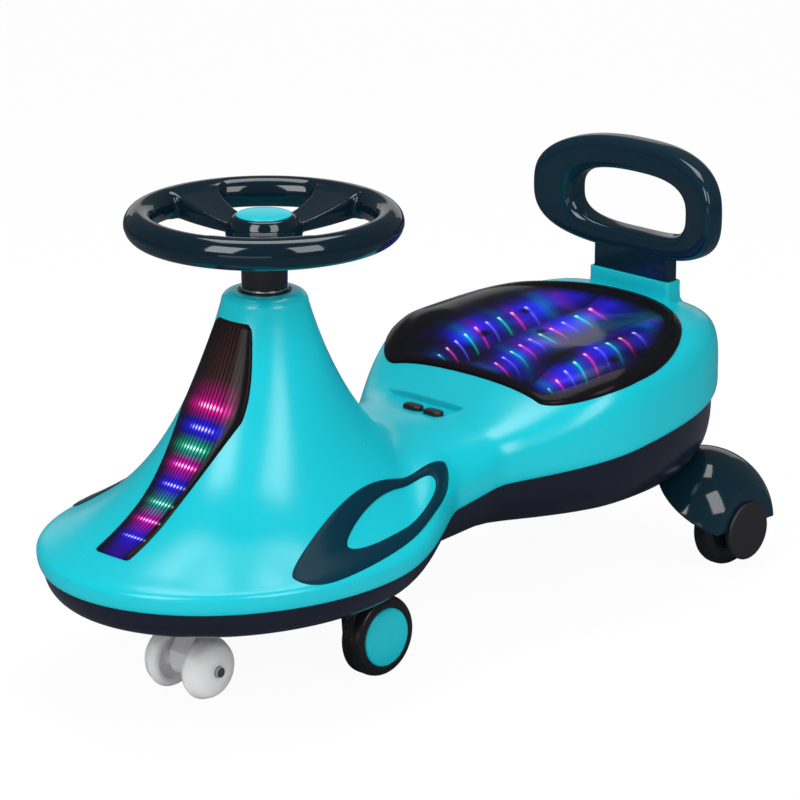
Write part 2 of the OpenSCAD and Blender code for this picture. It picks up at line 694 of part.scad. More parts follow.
module at_column(z) translate([column_x, 0, z]) children();
module tube(r, hole, h) {
    difference() {
        cylinder(r = r, h = h);
        translate([0, 0, -over]) cylinder(r = hole, h = h + 2 * over);
    }
}
module across(x, y, z) translate([x, y, z]) rotate([-90, 0, 0]) children();
module slab(l, w, h) translate([-l / 2, -w / 2, 0]) cube([l, w, h]);
module oval(l, w) {
    square([w, l - w], center = true);
    for (s = [-1, 1]) translate([0, s * (l - w) / 2]) circle(d = w);
}
module plate(w, t, r) {
    square([t - 2 * r, w], center = true);
    square([t, w - 2 * r], center = true);
    for (a = [-1, 1], b = [-1, 1]) translate([a * (t / 2 - r), b * (w / 2 - r)]) circle(r = r);
}
module both() for (s = [0, 1]) mirror([0, s, 0]) children();
function screw_places() = concat([[tail_screw_share * body_len, 0]],
    [for (p = screw_shares, s = [-1, 1]) [p[0] * body_len, s * p[1] * front_w]]);

module upper_shell() color("darkturquoise") {
    difference() {
        union() {
            skin_shell(wall);
            at_column(top_z - bush_l) cylinder(r = bush_r + wall, h = bush_l - wall / 2);
            translate([socket_x, 0, socket_z - socket_deep])
                linear_extrude(height = socket_deep) plate(socket_w, socket_t, socket_wall);
            for (p = screw_places()) translate([p[0], p[1], seam_z(p[0])])
                cylinder(r = post_r, h = post_top(p) - seam_z(p[0]) - wall / 3);
        }
        at_column(top_z - bush_l - over) cylinder(r = bush_r, h = bush_l + 2 * over);
        translate([socket_x, 0, socket_z - socket_deep + socket_wall])
            linear_extrude(height = socket_deep) square([post_t, post_w], center = true);
        translate([0, 0, deck_z])
            linear_extrude(height = column_h) polygon(about(cover_mid, cover_loop, window_share));
        translate([tray_x0, tray_y0, deck_z - deck_h])
            cube([tray_x1 - tray_x0, tray_y1 - tray_y0, 2 * deck_h]);
        translate([0, 0, seam_z0 + lip_h])
            linear_extrude(height = column_h) polygon(strip_loop(0.1, 0.94, 0.72));
        for (p = screw_places()) translate([p[0], p[1], seam_z(p[0]) - over])
            cylinder(r = screw_r, h = post_r * 3 + over);
    }
}

module lower_shell() color("darkslategray") {
    difference() {
        union() {
            tray_shell(wall);
            at_column(bottom_z + wall / 2) cylinder(r = bush_r + wall, h = bush_l - wall / 2);
            for (p = screw_places()) translate([p[0], p[1], bottom_z + wall / 2])
                cylinder(r = post_r, h = seam_z(p[0]) - bottom_z - wall / 2);
        }
        at_column(bottom_z - over) cylinder(r = bush_r, h = bush_l + 2 * over);
        translate([box_x_share * body_len, 0, bottom_z - over])
            slab(box_l, box_w, wall + 2 * over);
        for (p = screw_places()) translate([p[0], p[1], bottom_z - over]) {
            cylinder(r = screw_r, h = seam_rise + tray_h + 2 * over);
            cylinder(r = head_r, h = wall + over);
        }
    }
}

module seat_cover() color("black") {
    rings = [for (s = [0.35, 0.68, 0.86, 0.94, 0.98, 1]) about(cover_mid, cover_loop, s)];
    disc_patch(cover_mid, rings, cover_t * [0.8, 0.8, 0.9, 1.5, 1.3, 0.4], -press);
    for (x = [-1, 1], y = [-1, 1]) translate([cover_mid[0] + x * board_l / 2 * 0.8,
        y * board_w / 2 * 0.8, seat_board_z])
        cylinder(r = post_r / 2, h = skin_z(cover_mid[0] + x * board_l / 2 * 0.8,
            y * board_w / 2 * 0.8) - seat_board_z);
}
module seat_light_board() color("green") {
    translate([cover_mid[0], 0, seat_board_z - board_t]) slab(board_l, board_w, board_t);
    for (i = [-1.5:1:1.5], j = [-1.5:1:1.5])
        translate([cover_mid[0] + i * board_l / 4.6, j * board_w / 5, seat_board_z])
            cylinder(d1 = wall * 1.6, d2 = wall, h = wall);
}

module front_light_cover() color("black") light_strip(0, 1, 1, -press, cover_t * 0.8);
module front_light_strip() color("green")
    light_strip(0.14, 0.9, 0.5, -press - board_t, -press * 0.5);

module left_trim() color("darkslategray") difference() {
    ring_patch([leaf_in, leaf_in, between(leaf_in, leaf_out, 0.45), leaf_out, leaf_out],
        [-press, trim_t * 0.6, trim_t, trim_t * 0.5, -press]);
    under_trim();
}
module right_trim() color("darkslategray") mirror([0, 1, 0]) left_trim();

module button_tray() color("darkturquoise") {
    difference() {
        tray_block();
        translate([0, tray_y1 - tray_inset, 0]) rotate([90, 0, 0])
            linear_extrude(height = tray_y1 - tray_y0 - 2 * tray_inset)
                polygon([[tray_x0 + tray_inset, tray_z], [tray_x1 - tray_inset, tray_front_z],
                    [tray_x1 - tray_inset, deck_z + deck_h], [tray_x0 + tray_inset, deck_z + deck_h]]);
        for (s = [-1, 1]) translate([button_x, button_y(s), tray_z - deck_h])
            linear_extrude(height = 2 * deck_h) oval(button_l + 2 * part_gap, button_w + 2 * part_gap);
    }
    for (x = [0, 1], s = [0, 1])
        translate([mix(tray_x0 + post_r, tray_x1 - post_r, x),
            mix(tray_y0 + post_r, tray_y1 - post_r, s), board_z])
            cylinder(r = post_r / 2, h = tray_z - wall / 2 - board_z);
}
module tray_block() intersection() {
    tray_prism();
    translate([tray_x0 - over, tray_y0 - over, tray_z - wall])
        cube([tray_x1 - tray_x0 + 2 * over, tray_y1 - tray_y0 + 2 * over, deck_h]);
}
module tray_prism() {
    nx = tray_cells[0];
    ny = tray_cells[1];
    w = ny + 1;
    grid = [for (i = [0:nx], j = [0:ny])
        skin_at(mix(tray_x1, tray_x0, i / nx), mix(tray_y1, tray_y0, j / ny))];
    h = len(grid);
    top = [for (i = [0:nx - 1], j = [0:ny - 1])
        each halves(i * w + j, i * w + j + 1, (i + 1) * w + j + 1, (i + 1) * w + j)];
    edge = concat([for (j = [0:ny - 1]) j], [for (i = [0:nx - 1]) i * w + ny],
        [for (j = [ny:-1:1]) nx * w + j], [for (i = [nx:-1:1]) i * w]);
    n = len(edge);
    polyhedron(
        concat(grid, [for (p = grid) [p[0], p[1], tray_z - 2 * wall]]),
        concat(top, shifted(turned(top), h),
            [for (k = [0:n - 1]) let (a = edge[k], b = edge[(k + 1) % n])
                each turned(halves(a, b, h + b, h + a))]));
}
module button(s) translate([button_x, button_y(s), 0]) {
    translate([0, 0, tray_z - wall]) {
        linear_extrude(height = wall + button_up * 0.8) oval(button_l, button_w);
        linear_extrude(height = wall + button_up)
            oval(button_l - button_edge, button_w - button_edge);
    }
    translate([0, 0, tray_z - wall - part_gap - keeper_t])
        linear_extrude(height = keeper_t + part_gap)
            oval(button_l, button_w);
    translate([0, 0, tray_z - wall - part_gap - keeper_t])
        linear_extrude(height = keeper_t)
            oval(button_l + 2 * tray_inset, button_w + 2 * tray_inset);
}
module light_button() color("black") button(1);
module music_button() color("black") button(-1);
module button_board() color("green")
    translate([(tray_x0 + tray_x1) / 2, (tray_y0 + tray_y1) / 2, board_z - board_t])
        slab(tray_x1 - tray_x0 - 2 * tray_inset, tray_y1 - tray_y0 - 2 * tray_inset, board_t);

module backrest() color("darkslategray") {
    ring_points = [for (i = [0:rest_n - 1], j = [0:rest_m - 1]) rest_pt(360 * i / rest_n, 360 * j / rest_m)];
    faces = [for (i = [0:rest_n - 1], j = [0:rest_m - 1])
        let (a = (i + 1) % rest_n, b = (j + 1) % rest_m)
        each halves(i * rest_m + j, i * rest_m + b, a * rest_m + b, a * rest_m + j)];
    union() {
        polyhedron(ring_points, faces);
        translate([socket_x, 0, socket_z - socket_deep + socket_wall])
            linear_extrude(height = post_h)
                square([post_t, post_w], center = true);
    }
}
function round_box(a, w, h, n) =
    [w / 2 * sign(cos(a)) * pow(abs(cos(a)), 2 / n), h / 2 * sign(sin(a)) * pow(abs(sin(a)), 2 / n)];
function rest_pt(a, b) =
    let (o = round_box(a, rest_w, rest_h, rest_powers[0]))
    let (i = round_box(a, rest_w * hole_w_share, rest_h * hole_h_share, rest_powers[1]))
    let (c = round_box(b, 1, 1, rest_powers[2]), p = mix(i - [0, hole_drop_share * rest_h], o, 0.5 + c[0]))
    let (bend = rest_w * rest_bend_share * pow(2 * p[0] / rest_w, 2))
    [socket_x + rest_back_share * rest_t + bend + rest_t * c[1], p[0], rest_z + p[1]];

module upper_bush() color("dimgray") {
    at_column(top_z - bush_l) tube(bush_r, shaft_r + run_gap, bush_l + flange_t);
    at_column(top_z) tube(flange_r, shaft_r + run_gap, flange_t);
}
module lower_bush() color("dimgray") {
    at_column(bottom_z - low_flange_t) tube(bush_r, shaft_r + run_gap, bush_l + low_flange_t);
    at_column(bottom_z - low_flange_t) tube(flange_r, shaft_r + run_gap, low_flange_t);
}
module steering_shaft() color("silver")
    at_column(shaft_low_z) cylinder(r = shaft_r, h = shaft_top_z - shaft_low_z);
module shaft_nut() color("silver")
    at_column(shaft_low_z) difference() {
        cylinder(r = nut_r, h = nut_h, $fn = 6);
        translate([0, 0, -over]) cylinder(r = shaft_r, h = nut_h + 2 * over);
    }
module thrust_washer() color("silver") at_column(washer_z) tube(washer_r, shaft_r, washer_t);
module neck_collar() color("black")
    at_column(collar_z) rotate_extrude()
        polygon([[shaft_r, 0], [collar_r, 0], [collar_r, collar_h - washer_t * 2],
            [collar_lip_r, collar_h - washer_t], [collar_lip_r, collar_h], [shaft_r, collar_h]]);

module spoke_plan(s) for (turn = spoke_turns) rotate(spoke_a + turn)
    polygon(concat([[0, -s * spoke_half(0)]], spoke_side(-s),
        [for (i = [spoke_n:-1:0]) spoke_side(s)[i]], [[0, s * spoke_half(0)]]));
module spokes() {
    intersection() {
        at_column(0) rotate_extrude()
            polygon([[hub_r * 0.9, split_z], [rim_path_r, split_z],
                [rim_path_r, rim_z + rim_r * 0.75], [hub_r * 0.9, hub_top_z]]);
        at_column(split_z) linear_extrude(height = rim_t) spoke_plan(1);
    }
}
module rim_half(z0, z1) {
    intersection() {
        at_column(rim_z) rotate_extrude() translate([rim_path_r, 0]) circle(r = rim_r);
        at_column(z0) cylinder(r = wheel_d / 2 + over, h = z1 - z0);
    }
}
module steering_wheel_top() color("darkslategray") difference() {
    union() {
        rim_half(split_z, rim_z + rim_r + over);
        spokes();
        at_column(0) rotate_extrude()
            polygon([[shaft_r, split_z], [hub_r, split_z], [hub_r, hub_top_z],
                [hub_r * 0.88, hub_top_z + spoke_t * 0.5],
                [cap_r, hub_top_z + spoke_t * 0.6], [cap_r, hub_top_z], [shaft_r, hub_top_z]]);
    }
    at_column(split_z - over) cylinder(r = shaft_r, h = shaft_top_z - split_z + over);
}
module steering_wheel_bottom() color("darkslategray") {
    rim_half(rim_z - rim_r - over, split_z);
    intersection() {
        at_column(split_z - spoke_t * 0.6) linear_extrude(height = spoke_t * 0.6) spoke_plan(0.86);
        at_column(split_z - rim_t) tube(rim_path_r, hub_r * 0.7, 2 * rim_t);
    }
    at_column(hub_low_z) tube(hub_r, shaft_r, split_z - hub_low_z);
}
module steering_cap() color("darkturquoise")
    at_column(hub_top_z) rotate_extrude()
        polygon(concat([[0, 0], [cap_r, 0]],
            [for (a = [0:15:90]) [cap_r * mix(1, 0.9, sin(a)), spoke_t * (0.6 + 0.15 * sin(a))]],
            [[cap_r * 0.5, spoke_t * 0.84], [0, spoke_t * 0.88]]));

module swing_arm() color("whitesmoke") difference() {
    union() {
        at_column(arm_low_z) cylinder(r = arm_hub_r, h = arm_hub_h);
        translate([0, arm_w / 2, 0]) rotate([90, 0, 0]) linear_extrude(height = arm_w) {
            polygon([[column_x, arm_top_z], [column_x + arm_hub_r, arm_top_z],
                [axle_x - boss_r * 0.3, axle_z + front_wheel_d * 0.62],
                [axle_x + boss_r, axle_z + boss_r * 0.9], [axle_x + boss_r, axle_z],
                [axle_x - boss_r, axle_z], [axle_x - boss_r * 1.8, axle_z + boss_r * 1.4],
                [column_x + arm_hub_r, arm_low_z], [column_x, arm_low_z]]);
            translate([axle_x, axle_z]) circle(r = boss_r);
        }
    }
    at_column(arm_low_z - over) cylinder(r = shaft_r, h = arm_hub_h + 2 * over);
    across(axle_x, -arm_w, axle_z) cylinder(r = pin_r, h = 2 * arm_w);
}
module front_axle() color("silver") {
    across(axle_x, -wheel_out_y, axle_z) cylinder(r = pin_r, h = 2 * wheel_out_y);
    both() across(axle_x, wheel_out_y - pin_head_h, axle_z) cylinder(r = pin_head_r, h = 2 * pin_head_h);
}
module axle_sleeves() color("whitesmoke")
    both() across(axle_x, arm_w / 2, axle_z) tube(sleeve_r, pin_r, sleeve_l);
module front_wheel() {
    r = front_wheel_d / 2;
    w = front_wheel_w;
    across(axle_x, wheel_in_y, axle_z) rotate_extrude()
        polygon(concat(
            [[pin_r + run_gap, 0], [sleeve_r, 0], [sleeve_r * 1.1, w * 0.3],
             [r * 0.66, w * 0.3], [r * 0.7, 0]],
            [for (a = [-90:15:0]) [r * 0.78 + r * 0.22 * cos(a), r * 0.22 * (1 + sin(a))]],
            [for (a = [0:10:80]) [r * mix(0.4, 1, cos(a)), w - r * 0.5 + r * 0.5 * sin(a)]],
            [[r * 0.4, w], [pin_head_r + part_gap, w], [pin_head_r + part_gap, w - pin_head_h - part_gap],
             [pin_r + run_gap, w - pin_head_h - part_gap]]));
}
module left_front_wheel() color("white") front_wheel();
module right_front_wheel() color("white") mirror([0, 1, 0]) front_wheel();

module side_leg() difference() {
    union() {
        translate([0, leg_y + leg_t, 0]) rotate([90, 0, 0]) linear_extrude(height = leg_t) {
            translate([side_x, side_z]) circle(r = leg_boss_r);
            polygon([[side_x - leg_w / 2, bottom_z], [side_x - leg_boss_r, side_z],
                [side_x + leg_boss_r, side_z], [side_x + leg_w / 2, bottom_z]]);
        }
        translate([side_x, leg_y, bottom_z - foot_t]) slab(foot_l, leg_t * 2, foot_t);
    }
    across(side_x, leg_y - over, side_z) cylinder(r = side_pin_r, h = leg_t + 2 * over);
}
module left_side_leg() color("dimgray") side_leg();
module right_side_leg() color("dimgray") mirror([0, 1, 0]) side_leg();
module side_axle() {
    across(side_x, leg_y, side_z)
        cylinder(r = side_pin_r, h = side_y + side_wheel_w / 2 - side_cup_h - leg_y + side_pin_r);
    across(side_x, side_y + side_wheel_w / 2 - side_cup_h + part_gap, side_z)
        cylinder(r = side_head_r, h = side_pin_r - part_gap);
}
module left_side_axle() color("silver") side_axle();
module right_side_axle() color("silver") mirror([0, 1, 0]) side_axle();
module side_tyre() {
    r = side_r;
    w = side_wheel_w;
    across(side_x, tyre_in_y, side_z) rotate_extrude()
        polygon(concat([[side_pin_r + run_gap, 0], [r * 0.78, 0]],
            [for (a = [-90:18:0]) [r * 0.8 + r * 0.2 * cos(a), w * 0.3 * (1 + sin(a))]],
            [[r, w * 0.42], [r * 0.97, w * 0.45], [r * 0.97, w * 0.5], [r, w * 0.53]],
            [for (a = [0:18:90]) [r * 0.8 + r * 0.2 * cos(a), w * (0.6 + 0.4 * sin(a))]],
            [[side_cap_r, w], [side_cup_r, w], [side_cup_r, w - side_cup_h],
             [side_pin_r + run_gap, w - side_cup_h]]));
}
module left_side_tyre() color("black") side_tyre();
module right_side_tyre() color("black") mirror([0, 1, 0]) side_tyre();
module side_cap() across(side_x, side_y + side_wheel_w / 2, side_z) rotate_extrude()
    polygon(concat([[0, 0], [side_cap_r, 0], [side_cap_r, side_cap_h * 0.35]],
        [for (a = [15:15:90]) [side_cap_r * cos(a), side_cap_h * (0.35 + 0.65 * sin(a))]]));
module left_side_cap() color("darkturquoise") side_cap();
module right_side_cap() color("darkturquoise") mirror([0, 1, 0]) side_cap();

module hood_ball(r) translate([rear_x, hood_y, rear_z]) sphere(r = r);
module hood() difference() {
    union() {
        difference() {
            hood_ball(hood_r);
            intersection() {
                hood_ball(hood_r - hood_wall);
                translate([rear_x, fork_y + lug_t + hood_r, -hood_r])
                    slab(4 * hood_r, 2 * hood_r, 4 * hood_r);
            }
            translate([rear_x, hood_y, rear_z]) rotate([-hood_tilt, 0, 0])
                translate([0, 0, hood_lift - 2 * hood_r]) slab(4 * hood_r, 4 * hood_r, 2 * hood_r);
        }
        across(rear_x, hood_out_y - lug_t, rear_z) cylinder(r = lug_r, h = lug_t);
        intersection() {
            hood_ball(hood_r - hood_wall / 2);
            translate([rear_x, fork_y + lug_t / 2, rear_z]) slab(2 * fork_r, lug_t, hood_r);
        }
        across(rear_x, fork_y, rear_z) cylinder(r = fork_r, h = lug_t);
        intersection() {
            hood_ball(hood_r - hood_wall / 2);
            translate([rear_x, hood_out_y - lug_t / 2, rear_z]) slab(2 * lug_r, lug_t, hood_r);
        }
    }
    tray_solid();
    translate([rear_x, hood_out_y + hood_r, 0]) slab(4 * hood_r, 2 * hood_r, 4 * hood_r);
    across(rear_x, 0, rear_z) cylinder(r = rear_pin_r, h = 2 * hood_out_y);
}
module left_hood() color("darkslategray") hood();
module right_hood() color("darkslategray") mirror([0, 1, 0]) hood();
module rear_axle() across(rear_x, fork_y, rear_z)
    cylinder(r = rear_pin_r, h = disc_y + disc_t / 2 - fork_y);
module left_rear_axle() color("silver") rear_axle();
module right_rear_axle() color("silver") mirror([0, 1, 0]) rear_axle();
module rear_wheel() {
    r = rear_r;
    w = rear_wheel_w;
    across(rear_x, rear_y - w / 2, rear_z) rotate_extrude()
        polygon(concat([[rear_pin_r + run_gap, 0], [r * 0.8, 0]],
            [for (a = [-75:15:75]) [r * 0.86 + r * 0.14 * cos(a), w / 2 * (1 + 0.97 * sin(a))]],
            [[r * 0.8, w], [rear_pin_r + run_gap, w]]));
}
module left_rear_wheel() color("black") rear_wheel();
module right_rear_wheel() color("black") mirror([0, 1, 0]) rear_wheel();
module rear_disc() across(rear_x, disc_y, rear_z) difference() {
    rotate_extrude() polygon(concat(
        [[0, 0], [disc_r * 0.9, 0], [disc_r, disc_t * 0.25], [disc_r, disc_t * 0.7]],
        [for (a = [30:30:90]) [disc_r * (0.94 + 0.06 * cos(a)), disc_t * (0.7 + 0.3 * sin(a))]],
        [[0, disc_t]]));
    translate([0, 0, -over]) cylinder(r = rear_pin_r, h = disc_t / 2 + over);
}
module left_rear_disc() color("black") rear_disc();
module right_rear_disc() color("black") mirror([0, 1, 0]) rear_disc();

module battery_box() color("dimgray") translate([box_x_share * body_len, 0, bottom_z + wall]) difference() {
    slab(box_l + 2 * wall, box_w + 2 * wall, box_h);
    translate([0, 0, -over]) slab(box_l - 2 * wall, box_w - 2 * wall, box_h - wall + over);
}
module battery_door() color("dimgray") translate([box_x_share * body_len, 0, bottom_z])
    slab(box_l, box_w, wall);
module batteries() color("silver")
    for (i = [-1:1])
        translate([box_x_share * body_len + i * cell_pitch, -cell_l / 2, bottom_z + wall + cell_r])
        rotate([-90, 0, 0]) cylinder(r = cell_r, h = cell_l);
module body_screws() color("silver") for (p = screw_places()) translate([p[0], p[1], bottom_z]) {
    cylinder(r = head_r, h = wall);
    cylinder(r = screw_r, h = seam_z(p[0]) - bottom_z + post_r * 2.5);
}

upper_shell();
lower_shell();
seat_cover();
front_light_cover();
front_light_strip();
seat_light_board();
left_trim();
right_trim();
button_tray();
light_button();
music_button();
button_board();
backrest();
upper_bush();
lower_bush();
steering_shaft();
shaft_nut();
thrust_washer();
neck_collar();
steering_wheel_top();
steering_wheel_bottom();
steering_cap();
swing_arm();
front_axle();
axle_sleeves();
left_front_wheel();
right_front_wheel();
left_side_leg();
right_side_leg();
left_side_axle();
right_side_axle();
left_side_tyre();
right_side_tyre();
left_side_cap();
right_side_cap();
left_hood();
right_hood();
left_rear_axle();
right_rear_axle();
left_rear_wheel();
right_rear_wheel();
left_rear_disc();
right_rear_disc();
battery_box();
battery_door();
batteries();
body_screws();
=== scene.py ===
# %% [markdown]
# A wiggle car, dressed for the camera
#
# A wiggle car is a ride-on toy: the rider turns the wheel to and fro, a swing arm under the column
# swings the two small front wheels, and the car moves off. The solids of the car are already packed
# with their joints. This lesson loads them as a fixed frame and dresses them: smooth shells, moulded
# plastics, smoked covers with lights below, and a plain studio.

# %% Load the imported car
import math

import bmesh
import bpy
import numpy as np
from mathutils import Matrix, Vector


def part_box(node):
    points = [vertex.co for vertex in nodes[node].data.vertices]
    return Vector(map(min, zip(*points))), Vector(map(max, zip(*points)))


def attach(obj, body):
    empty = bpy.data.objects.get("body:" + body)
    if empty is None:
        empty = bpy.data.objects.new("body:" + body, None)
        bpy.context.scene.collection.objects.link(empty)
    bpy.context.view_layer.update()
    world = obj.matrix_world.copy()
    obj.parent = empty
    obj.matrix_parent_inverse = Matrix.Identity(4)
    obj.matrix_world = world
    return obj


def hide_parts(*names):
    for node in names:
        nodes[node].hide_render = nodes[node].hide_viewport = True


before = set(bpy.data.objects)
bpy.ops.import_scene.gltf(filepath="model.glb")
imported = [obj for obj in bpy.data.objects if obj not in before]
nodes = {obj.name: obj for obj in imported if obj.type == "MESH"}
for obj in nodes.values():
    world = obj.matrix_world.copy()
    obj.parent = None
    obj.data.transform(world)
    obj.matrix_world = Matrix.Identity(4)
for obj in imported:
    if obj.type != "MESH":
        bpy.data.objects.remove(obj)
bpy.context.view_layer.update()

# %% [markdown]
# Camera
#
# The photograph looks down on the car's left front corner from about four metres, with a long lens
# that hardly converges. The place below came from fitting the wheels, the seam and the steering
# wheel, so that pixels of the render and of the photograph can be compared one by one.

# %% Camera
LOOK_AT = Vector((-0.0022, 0.0009, 0.2141))
TURN, RISE, DISTANCE = math.radians(43.85), math.radians(17.25), 3.7577
FOCAL_MM, SENSOR_MM, FAR_CLIP = 181.46, 36.0, 60.0
eye = LOOK_AT + DISTANCE * Vector((math.cos(RISE) * math.cos(TURN),
                                   math.cos(RISE) * math.sin(TURN), math.sin(RISE)))
lens = bpy.data.cameras.new("photo_camera")
lens.lens, lens.sensor_width, lens.clip_end = FOCAL_MM, SENSOR_MM, FAR_CLIP
camera = bpy.data.objects.new("photo_camera", lens)
camera.location = eye
camera.rotation_euler = (LOOK_AT - eye).to_track_quat("-Z", "Y").to_euler()
bpy.context.collection.objects.link(camera)
bpy.context.scene.camera = camera
bpy.context.scene.view_settings.view_transform = "Standard"
print("camera at", [round(v, 3) for v in eye])

# %% [markdown]
# Numbers that flow through node trees
#
# Many finishes below work out light and tone from places: a distance, a sum, a power. In Blender each
# such step is a Math node. The small class here lets the script write the steps as plain sums, and
# adds one node for each of them to the tree that the number runs through.

# %% Flow of numbers
class Flow:
    """A number that runs through a node tree. Sums and products of flows become Math nodes."""

    def __init__(self, tree, socket):
        self.tree, self.socket = tree, socket

    def math(self, operation, other=0.0, clamp=False):
        return math_node(self.tree, operation, self, other, clamp)

    def left_of_one(self):
        """One less the number, kept between nil and one."""
        return math_node(self.tree, "SUBTRACT", 1.0, self, clamp=True)

    def __add__(self, other):
        return self.math("ADD", other)

    def __sub__(self, other):
        return self.math("SUBTRACT", other)

    def __rsub__(self, other):
        return math_node(self.tree, "SUBTRACT", other, self)

    def __mul__(self, other):
        return self.math("MULTIPLY", other)

    def __truediv__(self, other):
        return self.math("DIVIDE", other)

    def __pow__(self, other):
        return self.math("POWER", other)

    def __abs__(self):
        return self.math("ABSOLUTE")


def feed(tree, value, target):
    """Give a socket a flow, another node's output or a plain value."""
    if isinstance(value, Flow):
        value = value.socket
    if isinstance(value, bpy.types.NodeSocket):
        tree.links.new(value, target)
    else:
        target.default_value = value


def math_node(tree, operation, a, b, clamp=False):
    node = tree.nodes.new("ShaderNodeMath")
    node.operation, node.use_clamp = operation, clamp
    feed(tree, a, node.inputs[0])
    feed(tree, b, node.inputs[1])
    return Flow(tree, node.outputs[0])


def new_node(tree, kind, **inputs):
    """A node with its sockets fed by name. A space in a socket's name is written as _."""
    node = tree.nodes.new(kind)
    for key, value in inputs.items():
        feed(tree, value, node.inputs[key.replace("_", " ")])
    return node


print("helpers for node trees are ready")

# %% [markdown]
# Studio
#
# A white sweep is made of one pale floor. Seen by the camera it is mostly plain white, so the page
# stays clean, and the rest is a real surface that still takes a soft shadow. Big soft boxes stand
# left, right, above and behind, because glossy plastic shows the shape of every lamp.

# %% Floor
WHITE_SHARE, FLOOR_HALF, FLOOR_DROP = 0.955, 12.0, 0.0005


def bare_material(name):
    """A material whose node tree is still empty."""
    material = bpy.data.materials.new(name)
    material.use_nodes = True
    material.node_tree.nodes.clear()
    return material


def blend_shaders(tree, share, first, second):
    """The first shader where the share is nil, and the second where it is one."""
    node = tree.nodes.new("ShaderNodeMixShader")
    for slot, value in enumerate((share, first.outputs[0], second.outputs[0])):
        feed(tree, value, node.inputs[slot])
    return node


sweep = bare_material("white_sweep")
paper = sweep.node_tree
ray = new_node(paper, "ShaderNodeLightPath").outputs
lit_paper = new_node(paper, "ShaderNodeBsdfDiffuse", Color=(0.9, 0.9, 0.9, 1))
dim_paper = new_node(paper, "ShaderNodeBsdfDiffuse", Color=(0.11, 0.12, 0.14, 1))
white_page = new_node(paper, "ShaderNodeEmission", Color=(1, 1, 1, 1), Strength=1.0)
real_paper = blend_shaders(paper, ray["Is Glossy Ray"], lit_paper, dim_paper)
seen_paper = blend_shaders(paper, Flow(paper, ray["Is Camera Ray"]) * WHITE_SHARE, real_paper, white_page)
new_node(paper, "ShaderNodeOutputMaterial", Surface=seen_paper.outputs[0])
floor_mesh = bpy.data.meshes.new("floor")
floor_corners = [(FLOOR_HALF * x, FLOOR_HALF * y, 0) for x, y in ((-1, -1), (1, -1), (1, 1), (-1, 1))]
floor_mesh.from_pydata(floor_corners, [], [(0, 1, 2, 3)])
floor_mesh.materials.append(sweep)
floor = bpy.data.objects.new("floor", floor_mesh)
floor.location.z = -FLOOR_DROP
bpy.context.collection.objects.link(floor)
print("floor", 2 * FLOOR_HALF, "m wide")

# %% World
SKY_GLOW, SKY_GLOSS_DROP = 0.42, -0.31
world = bpy.data.worlds.new("studio")
bpy.context.scene.world = world
world.use_nodes = True
sky = world.node_tree
sky_ray = new_node(sky, "ShaderNodeLightPath").outputs
seen_sky = Flow(sky, sky_ray["Is Camera Ray"]).math("MAXIMUM", sky_ray["Is Transmission Ray"])
sky_glow = Flow(sky, sky_ray["Is Glossy Ray"]) * SKY_GLOSS_DROP + SKY_GLOW
feed(sky, seen_sky.math("ADD", sky_glow, clamp=True), sky.nodes["Background"].inputs["Strength"])
sky.nodes["Background"].inputs["Color"].default_value = (1, 1, 1, 1)
print("world", len(sky.nodes), "nodes")

# %% Soft boxes
LAMPS_AIM = Vector((0, 0, 0.2))
RIGHT = Vector((-math.sin(TURN), math.cos(TURN), 0))
FRONT = Vector((math.cos(TURN), math.sin(TURN), 0))


def soft_box(name, right, front, up, width, height, watts):
    """An area lamp, placed as the camera sees it, in metres from the car's middle."""
    lamp = bpy.data.lights.new(name, "AREA")
    lamp.shape, lamp.size, lamp.size_y, lamp.energy = "RECTANGLE", width, height, watts
    box = bpy.data.objects.new(name, lamp)
    box.location = RIGHT * right + FRONT * front + Vector((0, 0, up))
    box.rotation_euler = (LAMPS_AIM - box.location).to_track_quat("-Z", "Y").to_euler()
    box.visible_camera = False
    bpy.context.collection.objects.link(box)


soft_box("left_box", -1.12, 1.58, 1.65, 0.9, 1.5, 27)
soft_box("right_box", 1.12, 1.58, 1.65, 0.9, 1.5, 22)
soft_box("top_box", 0.0, -0.5, 2.6, 1.8, 1.2, 32)
soft_box("low_box", -0.6, 2.2, 0.25, 1.6, 0.4, 2)
soft_box("back_box", 0.0, -3.2, 0.8, 3.2, 1.1, 6)

# %% [markdown]
# Finishes
#
# All the plastics are injection moulded, so they share one effect: a slight drift of the tone over
# the piece and a very fine grain from the mould. The effect is a node group, and each material gives
# it a colour, a gloss and a grain size. The shader itself stays in the material.

# %% Moulded finish group
def new_group(name, inputs, outputs):
    """A shader node group with named sockets, and the sockets inside it."""
    group = bpy.data.node_groups.new(name, "ShaderNodeTree")
    for label, kind, value in inputs:
        socket = group.interface.new_socket(label, in_out="INPUT", socket_type=kind)
        socket.default_value = value
    for label, kind in outputs:
        group.interface.new_socket(label, in_out="OUTPUT", socket_type=kind)
    return group, group.nodes.new("NodeGroupInput").outputs, group.nodes.new("NodeGroupOutput").inputs


moulded, given, handed = new_group(
    "moulded_finish",
    [("Colour", "NodeSocketColor", (0.5, 0.5, 0.5, 1)), ("Gloss roughness", "NodeSocketFloat", 0.15),
     ("Drift", "NodeSocketFloat", 0.05), ("Grain size", "NodeSocketFloat", 700.0)],
    [("Colour", "NodeSocketColor"), ("Roughness", "NodeSocketFloat"), ("Height", "NodeSocketFloat")])
SMEAR_MIDDLE, SMEAR_SHARE = 0.45, 0.1
place = new_node(moulded, "ShaderNodeTexCoord").outputs["Object"]
cloud = new_node(moulded, "ShaderNodeTexNoise", Vector=place, Scale=7.0, Detail=3.0)
grain = new_node(moulded, "ShaderNodeTexNoise", Vector=place, Scale=given["Grain size"], Detail=2.0)
smear = new_node(moulded, "ShaderNodeTexNoise", Vector=place, Scale=38.0, Detail=5.0)
drift = (Flow(moulded, cloud.outputs[0]) - 0.5) * given["Drift"]
